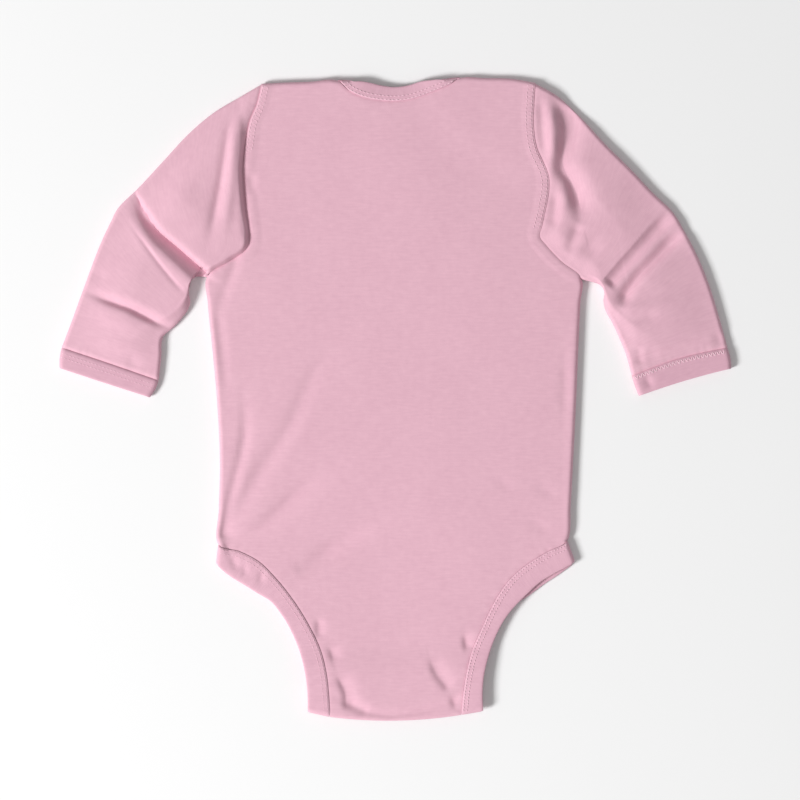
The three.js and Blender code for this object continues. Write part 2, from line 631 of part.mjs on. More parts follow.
function makeBackPanel(material) {
  const bodyStops = [...armholeStops, ...sideStops, ...legStops, ...crotchStops];
  const flapRows = flapStops.slice(1).reverse();
  const grid = [];
  for (const row of flapRows) {
    grid.push(topStops.map(column => {
      const isFlap = column <= neckFirst || column >= neckLast;
      if (!isFlap) return new THREE.Vector3();
      const point = flapPlan(column <= neckFirst ? 'left' : 'right', column, row);
      return point.setZ(besideFold(fromFoldedEdge(point.x, point.y), edgeHeight, bottomLayer));
    }));
  }
  for (const row of bodyStops) {
    grid.push(topStops.map((column, i) => {
      const point = backPlan(column, row);
      const isShoulder = row === foldRow && (column <= neckFirst || column >= neckLast);
      const isEnd = i === 0 || i === topStops.length - 1;
      const isSide = isEnd && row >= armpitRow && row <= hipRow;
      if (isShoulder) return point.setZ(edgeHeight);
      if (isSide) return point.setZ(edgeHeight + halfGap);
      const level = topLevel(point.x, point.y, frontLayerAt(point.x, point.y));
      const height = besideFold(fromFoldedEdge(point.x, point.y), edgeHeight, level);
      const fromCrotch = point.y - backPlan(column, crotchFoldRow).y;
      return point.setZ(row > legStops[0] ? besideFold(fromCrotch, crotchMiddle, height) : height);
    }));
  }
  for (const row of tailStops) {
    grid.push(topStops.map(column => {
      const point = backPlan(column, row);
      const foldY = backPlan(column, crotchFoldRow).y;
      return point.setZ(besideFold(point.y - foldY, crotchMiddle, layerAt('tail', point.y)));
    }));
  }
  const firstBodyRow = flapRows.length;
  const hole = (i, j) => j < firstBodyRow && topStops[i] >= neckFirst && topStops[i + 1] <= neckLast;
  const rolled = (i, j) => {
    const row = bodyStops[j - firstBodyRow];
    const isSide = row >= armpitRow && row <= hipRow;
    if (!isSide) return 0;
    return i === 0 ? 1 : i === topStops.length - 1 ? -1 : 0;
  };
  return clothWall('back_panel', material, grid, { hole, rolled });
}

function frontPlan(share, row) {
  const left = armholePoint('left', row, bodyInset(row));
  const right = armholePoint('right', row, bodyInset(row));
  const point = mix(left, right, share);
  const neck = beside(frontNeck, share * (frontNeckRows.length - 1), -halfGap);
  const ends = [frontNeck(0), frontNeck(frontNeckRows.length - 1)];
  const dip = neck.y - ends[0].y - (ends[1].y - ends[0].y) * share;
  const full = Math.sin(Math.PI * share) ** frontNeckFullness;
  point.y += dip * full * (1 - smooth(row, frontStops[0], armpitRow));
  return point;
}

function makeFrontPanel(material) {
  const grid = frontStops.map(row => frontAcross.map((share, i) => {
    const point = frontPlan(share, row);
    const isEnd = i === 0 || i === frontAcross.length - 1;
    if (isEnd && row >= armpitRow && row <= hipRow) return point.setZ(edgeHeight - halfGap);
    const level = frontLayerAt(point.x, point.y);
    return point.setZ(besideFold(fromFoldedEdge(point.x, point.y), edgeHeight, level));
  }));
  const rolled = (i, j) => {
    if (frontStops[j] < armpitRow || frontStops[j] > hipRow) return 0;
    return i === 0 ? -1 : i === frontAcross.length - 1 ? 1 : 0;
  };
  return clothWall('front_panel', material, grid, { rolled });
}

// Share of the way round the armhole at each of its stops
function armholeShares(side) {
  const line = side === 'left' ? bodyLeft : bodyRight;
  const lengthTo = row => {
    const points = samples(line, foldRow, row, sideSamples);
    return points.reduce((sum, point, k) => (k === 0 ? 0 : sum + point.distanceTo(points[k - 1])), 0);
  };
  const whole = lengthTo(armpitRow);
  return new Map(armholeStops.map(row => [row, lengthTo(row) / whole]));
}

function makeSleeve(side, rows, material) {
  const isLeft = side === 'left';
  const inward = isLeft ? halfCloth : -halfCloth;
  const outer = planLine(rows, 'outerX', 'outerY');
  const inner = planLine(rows, 'innerX', 'innerY');
  const seam = cuffRows[side][0];
  const shares = armholeShares(side);
  const cuffSeam = share => {
    const outerEnd = new THREE.Vector3(seam.outerX, seam.outerY, 0);
    const innerEnd = new THREE.Vector3(seam.innerX, seam.innerY, 0);
    const bow = new THREE.Vector3(seam.midX, seam.midY, 0).sub(mix(outerEnd, innerEnd, 0.5));
    const edge = halfCloth / outerEnd.distanceTo(innerEnd);
    const across = mixNumber(edge, 1 - edge, share);
    const point = mix(outerEnd, innerEnd, across).addScaledVector(bow, arch(across));
    point.y += halfGap;
    return point;
  };
  const plan = (row, place) => {
    const share = shares.get(row);
    const along = place / sleeveEnd;
    const seamRow = clamp(row, foldRow + cornerEase, armpitRow - cornerEase);
    const point = mix(armholePoint(side, seamRow, -halfGap), cuffSeam(share), along);
    const fromOuter = mix(beside(outer, 0, inward), beside(outer, sleeveEnd, inward), along);
    const fromInner = mix(beside(inner, 0, -inward), beside(inner, sleeveEnd, -inward), along);
    point.addScaledVector(beside(outer, place, inward).sub(fromOuter), 1 - share);
    return point.addScaledVector(beside(inner, place, -inward).sub(fromInner), share);
  };
  const loop = [
    ...armholeStops.map(row => ({ row, isTop: true })),
    ...underStops.slice(1, -1).reverse().map(row => ({ row, isTop: false })),
  ];
  if (!isLeft) loop.reverse();
  const grid = sleeveStops.map(place => {
    const ends = [plan(foldRow, place), plan(armpitRow, place)];
    return loop.map(({ row, isTop }) => {
      const point = plan(row, place);
      const fromFold = Math.min(point.distanceTo(ends[0]), point.distanceTo(ends[1]));
      const level = isTop ? topLevel(point.x, point.y, bottomLayer) : bottomLayer;
      return point.setZ(besideFold(fromFold, edgeHeight, level));
    });
  });
  return clothWall(`sleeve_${side}`, material, grid, { tube: true });
}

function makeCuff(side, material) {
  const rows = cuffRows[side];
  const isLeft = side === 'left';
  const inset = bandCloth / 2;
  const lines = ['outer', 'mid', 'inner'].map(key => planLine(rows, `${key}X`, `${key}Y`));
  const plan = (share, place) => {
    const [outer, mid, inner] = lines.map(line => line(place));
    const bow = mid.sub(mix(outer, inner, 0.5));
    const edge = inset / outer.distanceTo(inner);
    const across = mixNumber(edge, 1 - edge, share);
    const point = mix(outer, inner, across).addScaledVector(bow, arch(across));
    point.y -= halfGap * (1 - place / (rows.length - 1));
    return point;
  };
  const loop = [
    ...cuffAcross.map(share => ({ share, level: cuffTopLayer })),
    ...cuffAcross.slice(1, -1).reverse().map(share => ({ share, level: bandLayer })),
  ];
  if (!isLeft) loop.reverse();
  const grid = cuffStops.map(place => loop.map(({ share, level }) => {
    const point = plan(share, place);
    const width = plan(0, place).distanceTo(plan(1, place));
    return point.setZ(besideFold(Math.min(share, 1 - share) * width, edgeHeight, level));
  }));
  const walls = [seamWall, bandCloth, bandCloth, bandCloth, wristWall];
  return clothWall(`cuff_${side}`, material, grid, { tube: true, wall: (i, j) => walls[j] });
}

// A folded strip, from stations that give its seam edge, its free edge and its height
function bandStrip(name, material, stations) {
  const grid = stations.map(({ seam, free, height }) => bandAcross.map(share => {
    const point = mix(seam, free, share);
    return point.setZ(height(point.x, point.y));
  }));
  return clothWall(name, material, grid, { wall: i => bandWalls[i] });
}

// Drop of a band beside its fold, so that its outer face stays inside the outline
function foldDrop(rowsAway) {
  return (bandCloth / 2) * (1 - smooth(rowsAway, 0, foldReachRows));
}

// Extra room between a band and its panel where both turn over a fold
function foldEase(rowsAway) {
  return foldRoom * (1 - smooth(rowsAway, foldRoomFrom, foldReachRows));
}

function makeNeckBindingBack(material) {
  const foldEnds = side => {
    const column = side === 'left' ? neckFirst : neckLast;
    const seam = topLine(column);
    seam.x += side === 'left' ? halfGap + foldRoom : -halfGap - foldRoom;
    const free = neckFree(column - neckFirst);
    seam.y -= foldDrop(0);
    free.y -= foldDrop(0);
    return [seam, free];
  };
  const flapStations = side => {
    const isLeft = side === 'left';
    const rows = isLeft ? leftFlapRows : rightFlapRows;
    const seamLine = planLine(rows, 'x', 'y');
    const freeLine = planLine(rows, 'freeX', 'freeY');
    const corner = rows.length - 2;
    const fold = foldEnds(side);
    const height = (x, y) => besideFold(distanceTo(fold, x, y), edgeHeight, bandLayer);
    const downTheFlap = flapStops.slice(1).map(row => (row - foldRow) / (flapArmholeRow - foldRow));
    const columns = isLeft
      ? topStops.filter(column => column < neckFirst).map(column => (column / neckFirst) * corner)
      : topStops.filter(column => column > neckLast).reverse()
        .map(column => ((topLast - column) / (topLast - neckLast)) * corner);
    const places = [...columns, ...downTheFlap.reverse().map(down => corner + 1 - down)];
    return places.map(place => {
      const away = halfGap + foldEase(rows.length - 1 - place);
      const seam = beside(seamLine, place, isLeft ? -away : away);
      const free = freeLine(place);
      if (place === 0) {
        const armhole = armholePoint(side, flapArmholeRow, 0);
        seam.x = armhole.x + (isLeft ? 2 * halfGap : -2 * halfGap);
      }
      seam.y -= foldDrop(rows.length - 1 - place);
      free.y -= foldDrop(rows.length - 1 - place);
      return { seam, free, height };
    });
  };
  const neckStops = topStops.filter(column => column >= neckFirst && column <= neckLast);
  const neckStations = neckStops.map(column => {
    const side = column < (neckFirst + neckLast) / 2 ? 'left' : 'right';
    const fold = foldEnds(side);
    if (column === neckFirst || column === neckLast) {
      return { seam: fold[0], free: fold[1], height: () => edgeHeight };
    }
    const fromFold = Math.min(column - neckFirst, neckLast - column);
    const seam = beside(topLine, column, halfGap + foldEase(fromFold));
    const free = neckFree(column - neckFirst);
    const slip = side === 'left' ? foldSlip : -foldSlip;
    const drop = new THREE.Vector3(slip, -1, 0).multiplyScalar(foldDrop(fromFold));
    seam.add(drop);
    free.add(drop);
    const height = (x, y) => {
      const level = topLevel(x, y, frontLayerAt(x, y) + bandCloth - cloth);
      return besideFold(distanceTo(fold, x, y), edgeHeight, level);
    };
    return { seam, free, height };
  });
  const stations = [...flapStations('left'), ...neckStations, ...flapStations('right').reverse()];
  return bandStrip('neck_binding_back', material, stations.reverse());
}

function makeNeckBindingFront(material) {
  const last = frontNeckRows.length - 1;
  const stations = frontAcross.map(share => {
    const seam = frontPlan(share, frontStops[0]);
    const free = beside(frontNeck, share * last, neckBandWidth);
    seam.y += seamGap;
    if (share === 0 || share === 1) {
      const side = share === 0 ? 'left' : 'right';
      free.copy(armholePoint(side, frontNeckCorner, seamGap));
      seam.x += share === 0 ? halfGap : -halfGap;
    }
    return { seam, free };
  });
  const ease = (k, from) => mix(stations[k].free, stations[from].free, 0.5);
  stations[1].free.copy(ease(0, 3));
  stations[2].free.copy(ease(1, 3));
  const end = stations.length - 1;
  stations[end - 1].free.copy(ease(end, end - 3));
  stations[end - 2].free.copy(ease(end - 1, end - 3));
  const height = (x, y) => Math.max(frontLayerAt(x, y), bandLayer);
  const raised = stations.map(station => ({ ...station, height }));
  return bandStrip('neck_binding_front', material, raised.reverse());
}

function makeLegBinding(side, material) {
  const isLeft = side === 'left';
  const seamLine = isLeft ? bodyLeft : bodyRight;
  const freeLine = planLine(legEdgeRows, `${side}X`, `${side}Y`);
  const outward = isLeft ? -halfGap : halfGap;
  const station = (row, height) => {
    const hipEase = 1 + hipRoom * (1 - smooth(row, hipRow, legStops[1]));
    const seam = beside(seamLine, row, outward * hipEase);
    const free = freeLine(row - hipRow);
    seam.y += foldDrop(crotchRow - row) - halfCloth;
    free.y += foldDrop(crotchRow - row);
    return { seam, free, height };
  };
  const hip = station(hipRow, () => edgeHeight);
  const hipShift = new THREE.Vector3(isLeft ? bandCloth / 2 : -bandCloth / 2, 0, 0);
  hip.seam.add(hipShift);
  hip.free.add(hipShift);
  const crotch = station(crotchFoldRow, () => crotchMiddle);
  const fromHip = (x, y) => distanceTo([hip.seam, hip.free], x, y);
  const fromCrotch = (x, y) => distanceTo([crotch.seam, crotch.free], x, y);
  const over = (x, y) => {
    const level = besideFold(fromCrotch(x, y), crotchMiddle, layerAt('back', y));
    return besideFold(fromHip(x, y), edgeHeight, level);
  };
  const under = (x, y) => {
    const level = Math.max(layerAt('front', y), bandLayer);
    return besideFold(fromHip(x, y), edgeHeight, level);
  };
  const tail = (x, y) => besideFold(fromCrotch(x, y), crotchMiddle, layerAt('tail', y));
  const backStops = [...hipStops, ...legStops, ...crotchStops.slice(0, -1)];
  const stations = [
    ...tailStops.slice().reverse().map(row => station(row, tail)),
    crotch,
    ...backStops.slice().reverse().map(row => station(row, over)),
    hip,
    ...[...hipStops, ...legStops].map(row => station(row, under)),
  ];
  if (isLeft) stations.reverse();
  return bandStrip(`leg_binding_${side}`, material, stations);
}

function makeSnap(number, material) {
  const profile = [
    [0, snapRound],
    [snapDish, snapRound],
    [snapDish + snapRound, 0],
    [snapRadius - snapRound, 0],
    [snapRadius, snapRound],
    [snapRadius, snapHeight - snapRound],
    [snapRadius - snapRound, snapHeight],
    [0, snapHeight],
  ];
  const points = profile.map(([radius, height]) => new THREE.Vector2(radius, height));
  const geometry = new THREE.LatheGeometry(points, snapSides);
  const mesh = new THREE.Mesh(geometry, material);
  mesh.name = `snap_${number}`;
  mesh.rotation.x = Math.PI / 2;
  mesh.position.set(snapCentre.x + (number - 2) * snapSpacing, snapCentre.y, 0);
  return mesh;
}

// Finishes
const makeFinish = (name, color, roughness) => new THREE.MeshStandardMaterial({ name, color, roughness });
const jersey = makeFinish('pink jersey', 0xe5b9c6, 0.9);
const binding = makeFinish('pink binding', 0xe2b4c2, 0.9);
const enamel = makeFinish('pink snap', 0xe3b0c0, 0.35);

const onesie = new THREE.Group();
onesie.name = 'baby_onesie';
onesie.add(
  makeBackPanel(jersey),
  makeFrontPanel(jersey),
  makeSleeve('left', leftSleeveRows, jersey),
  makeSleeve('right', rightSleeveRows, jersey),
  makeCuff('left', binding),
  makeCuff('right', binding),
  makeNeckBindingBack(binding),
  makeNeckBindingFront(binding),
  makeLegBinding('left', binding),
  makeLegBinding('right', binding),
);
for (const number of [1, 2, 3]) onesie.add(makeSnap(number, enamel));

export default onesie;
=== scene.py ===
"""Baby onesie laid flat on its front, back up.

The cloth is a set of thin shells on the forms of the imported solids: panels, sleeves, cuffs and
bindings, each with its folds, puckers and sewn edges, and thread laid on its seams. Lengths in the
tables are in millimetres, +X to the right, +Y to the neck and +Z up; meshes are made in metres.
"""

import logging
import math
from dataclasses import dataclass, field
from enum import Enum
from typing import Callable, Iterable, Sequence

import bpy
import numpy as np
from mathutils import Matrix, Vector
from mathutils.bvhtree import BVHTree


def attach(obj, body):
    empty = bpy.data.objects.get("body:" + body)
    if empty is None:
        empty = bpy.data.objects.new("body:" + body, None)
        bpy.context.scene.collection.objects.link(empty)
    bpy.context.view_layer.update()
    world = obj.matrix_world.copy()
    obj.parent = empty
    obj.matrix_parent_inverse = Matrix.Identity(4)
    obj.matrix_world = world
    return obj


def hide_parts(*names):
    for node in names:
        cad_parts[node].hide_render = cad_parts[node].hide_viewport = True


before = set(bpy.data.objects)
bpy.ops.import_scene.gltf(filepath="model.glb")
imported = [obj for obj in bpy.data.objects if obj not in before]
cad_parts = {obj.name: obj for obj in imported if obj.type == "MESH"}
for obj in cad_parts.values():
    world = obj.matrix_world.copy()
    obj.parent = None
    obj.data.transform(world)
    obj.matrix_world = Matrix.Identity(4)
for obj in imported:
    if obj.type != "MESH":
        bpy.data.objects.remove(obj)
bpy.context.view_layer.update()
LOG = logging.getLogger("onesie")

Array = np.ndarray
Piece = bpy.types.Object
Material = bpy.types.Material
Pair = tuple[float, float]
Triple = tuple[float, float, float]
Height = Callable[[Array], Array]

MM = 0.001
CLOTH = 1.0
BAND_CLOTH = 1.8
SEAM_GAP = 0.1
LEG_GAP = 0.11
HALF_GAP = SEAM_GAP / 2
HALF_CLOTH = CLOTH / 2
EDGE_HEIGHT = 2.45
BOTTOM_LAYER = 0.5
BAND_LAYER = 1.15
OVERLAP_LAYER = 3.0
OVERLAP_RISE = 0.6
CUFF_TOP = 4.3
FOLD_ROUND = 2.2
CORNER_EASE = 0.04
LEAST_FOLD = 0.12
TINY = 1e-9
CLEARANCE = 0.15
CLEARANCE_ROUND = 0.4
SEED = 11

# Distances from a folded edge, where the rows of a mesh lie closer together
CLOSE_STOPS = np.array([0, 0.15, 0.4, 0.8, 1.3, 1.9, 2.7, 3.7])

# Smoothing angles of cloth, thread and snaps
CLOTH_ANGLE, THREAD_ANGLE, SNAP_ANGLE = (math.radians(angle) for angle in (62, 80, 40))

# Height of the middle of each layer along the body: y, front panel, turned-under tail, back panel
LAYER_ROWS = (
    (-220.0, 1.8, 3.9, 6.0), (-176.0, 1.8, 3.9, 6.0), (-156.0, 0.7, 3.9, 4.8),
    (-125.0, 0.5, 3.9, 4.3), (-60.0, 0.5, 3.9, 4.6), (220.0, 0.5, 3.9, 4.6),
)

# Cross sections of the body from shoulder to crotch: left seam x, y and right seam x, y
BODY_ROWS = (
    (-85.4, 201.6, 89.3, 202.2), (-88.6, 188.2, 88.3, 188.2), (-93.1, 177.3, 88, 176),
    (-95.7, 162.6, 89.9, 161.3), (-97.3, 146.6, 98, 140.6), (-96, 124.2, 93.8, 112),
    (-93.4, 104.3, 91.9, 103.7), (-95, 96, 96.2, 97.8), (-105.9, 88, 105.6, 87.8),
    (-120.6, 77.8, 119, 76.5), (-120, 60.8, 118.1, 60.8), (-117.1, 31.4, 116.8, 31.4),
    (-114.2, -0.6, 115.5, -0.6), (-112.3, -39, 113.6, -39), (-113, -69.8, 112, -67.8),
    (-113.3, -93.1, 109.8, -90.6), (-99.5, -97.6, 97.3, -97.3), (-87.4, -104, 85.4, -104.6),
    (-77.8, -113.3, 74.6, -113.3), (-69.4, -123.2, 66.6, -123.5), (-61.1, -135, 60.2, -135),
    (-53.4, -148.5, 54.1, -148.5), (-47.7, -161.3, 48.6, -161.3), (-44.2, -175.4, 45.1, -175.4),
    (-42.7, -188.8, 43.2, -187.8), (-41.9, -202.9, 41.9, -201.6),
)
ARMPIT_ROW = 9
HIP_ROW = 15
CROTCH_ROW = len(BODY_ROWS) - 1
CROTCH_FOLD_ROW = 24.98
TAIL_ROW = 23.6
FRONT_LAST_ROW = 24.6
ALLOWANCE_ROW = 8.6
FOLD_ROW = 0.04
FLAP_ROW = 3
CROTCH_SAG = 3.0

# Top edge of the back from shoulder to shoulder, and the free edge of the neck binding
TOP_ROWS = (
    (-85.4, 201.6), (-70.1, 202.4), (-54.1, 202.9), (-38.1, 203.8), (-29.8, 196.9), (-20.2, 192.6),
    (-10.6, 190.8), (-0.3, 190.1), (9.9, 191.4), (20.2, 194.8), (29.1, 198.4), (35.5, 201.3),
    (42.6, 205.5), (57.9, 205.2), (73.9, 204.8), (89.3, 202.2),
)
NECK_FREE_ROWS = (
    (-28.5, 203.8), (-23.7, 203.2), (-17, 202.2), (-9, 200.3), (-0.3, 199.3), (8.3, 200.4),
    (16.3, 202.9), (23.7, 203.8), (28.5, 204.3), (33, 204.8),
)
NECK_FIRST = 3
NECK_LAST = 12
TOP_LAST = len(TOP_ROWS) - 1

# Bound edge of each shoulder flap, from the armhole to the neck fold: seam x, y and free edge x, y
FLAP_ROWS = {
    "left": (
        (-95.7, 162.6, -94.7, 153.6), (-77.1, 166.4, -73.9, 158.1), (-61.1, 174.1, -56, 166.7),
        (-48.3, 184.3, -41, 179.2), (-40, 196.5, -30.7, 194.2), (-38.1, 203.8, -28.5, 203.8),
    ),
    "right": (
        (89.9, 161.3, 89, 152.3), (80.3, 166.4, 76.5, 158.1), (65, 174.7, 59.5, 167.4),
        (52.8, 185, 45.4, 180.2), (44.5, 197.8, 35.2, 195.5), (42.6, 205.5, 33, 204.8),
    ),
}
FRONT_NECK_ROWS = (
    (-90.8, 183.7), (-61.1, 176), (-34.2, 161.9), (0.3, 151.7), (34.9, 161.9), (62.4, 176),
    (88.2, 183.3),
)

# Cross sections of the sleeves from armhole to cuff: outer edge x, y and inner edge x, y
SLEEVE_ROWS = {
    "left": (
        (-85.4, 201.6, -120.6, 77.8), (-99.5, 193.3, -125.1, 78.1), (-115.5, 183.7, -128.6, 77.6),
        (-131.5, 170.2, -131.5, 75.5), (-147.5, 153, -133.8, 71.7), (-163.5, 135.7, -133.4, 67.2),
        (-177, 122.2, -131.5, 62.7), (-181.4, 113.9, -133.4, 56.3), (-189.1, 97.3, -141.1, 46.7),
        (-198.7, 71.7, -149.1, 39), (-208.3, 45.4, -150.1, 26.9), (-213.1, 33, -151.7, 11.8),
    ),
    "right": (
        (89.3, 202.2, 119, 76.5), (102.7, 194.6, 122.6, 75.5), (118.1, 180.5, 126.4, 74.6),
        (133.4, 163.8, 130.2, 73.3), (150.1, 147.2, 132.8, 71), (164.2, 132.2, 134.1, 67.2),
        (177, 119.7, 133.4, 62.7), (184, 108.2, 134.7, 56.3), (193, 90.9, 138.6, 49.3),
        (200.6, 71.7, 143.7, 38.4), (207, 50.6, 147.8, 28.2), (211.8, 33, 151.4, 15),
    ),
}
SLEEVE_LAST = 11

# Cuffs: outer end, middle and inner end of the seam, of the middle and of the wrist edge
CUFF_ROWS = {
    "left": (
        (-213.4, 33, -182.7, 22.7, -151.4, 11.8), (-214.7, 26.2, -184.6, 16.3, -153.3, 6.7),
        (-214.7, 19.8, -187.2, 10.7, -156.8, 1),
    ),
    "right": (
        (212.2, 33, 180.8, 25.9, 151, 15), (214.1, 26.2, 183.4, 18.6, 153, 8.3),
        (214.7, 19.5, 185.3, 11.8, 155.5, 1.9),
    ),
}

# Free edge of the leg bindings at each body section from hip to crotch: left x, y, right x, y
LEG_EDGE_ROWS = (
    (-114.9, -105.6, 114.9, -104.3), (-106.6, -112.6, 103.4, -110.4), (-96.3, -119, 93.1, -116.5),
    (-88, -124.2, 84.2, -124.5), (-79.7, -129.3, 76.5, -132.2), (-72, -138.9, 70.4, -139.8),
    (-65.9, -149.8, 64, -151.7), (-60.8, -162.6, 59.5, -164.2), (-57.6, -176, 56.6, -176.6),
    (-56.2, -188.8, 55.7, -187.8), (-56, -200.3, 56, -199.7),
)


class Crease(Enum):
    """Shapes of a fold across its path."""

    SOFT = "soft"
    SHARP = "sharp"
    STEP = "step"


@dataclass(frozen=True)
class Fold:
    """A trough pressed into the top layer, or a ridge where its depth is negative.

    Reaches are how far the slope runs to the left and right of the path, and tapers are the
    shares of the path over which the fold fades in and out. A step falls off within its left
    reach, on the left of its path, and comes back within its right one. The path is x, y, x, y.
    """

    path: tuple[float, ...]
    depth: float
    left: float
    right: float
    fade_in: float = 0.3
    fade_out: float = 0.3
    shape: Crease = Crease.SOFT

    def height(self, points: Array) -> Array:
        """Work out how much the fold raises each point.

        Args:
            points: Plan points, (n, 2), in millimetres.

        Returns:
            Height to add at each point, in millimetres.
        """
        curve = PlanLine(np.reshape(self.path, (-1, 2)))
        line = curve.run(0, curve.last, 6 * curve.last)
        sharp = self.shape is Crease.SHARP
        near = close_to(points, line, (5 if sharp else 3) * max(self.left, self.right))
        away, along, side = nearest(points[near], line)
        share = along / along_of(line)[-1]
        ends = smooth(share, 0, self.fade_in) * smooth(1 - share, 0, self.fade_out)
        if self.shape is Crease.STEP:
            fall = (1 - np.exp(-away / self.left)) * np.exp(-((away / self.right) ** 4)) * (side > 0)
        else:
            width = np.where(side > 0, self.left, self.right)
            fall = np.exp(-((away / width) ** (1 if sharp else 2)))
        out = np.zeros(len(points))
        out[near] = -self.depth * fall * (LEAST_FOLD + (1 - LEAST_FOLD) * ends)
        return out


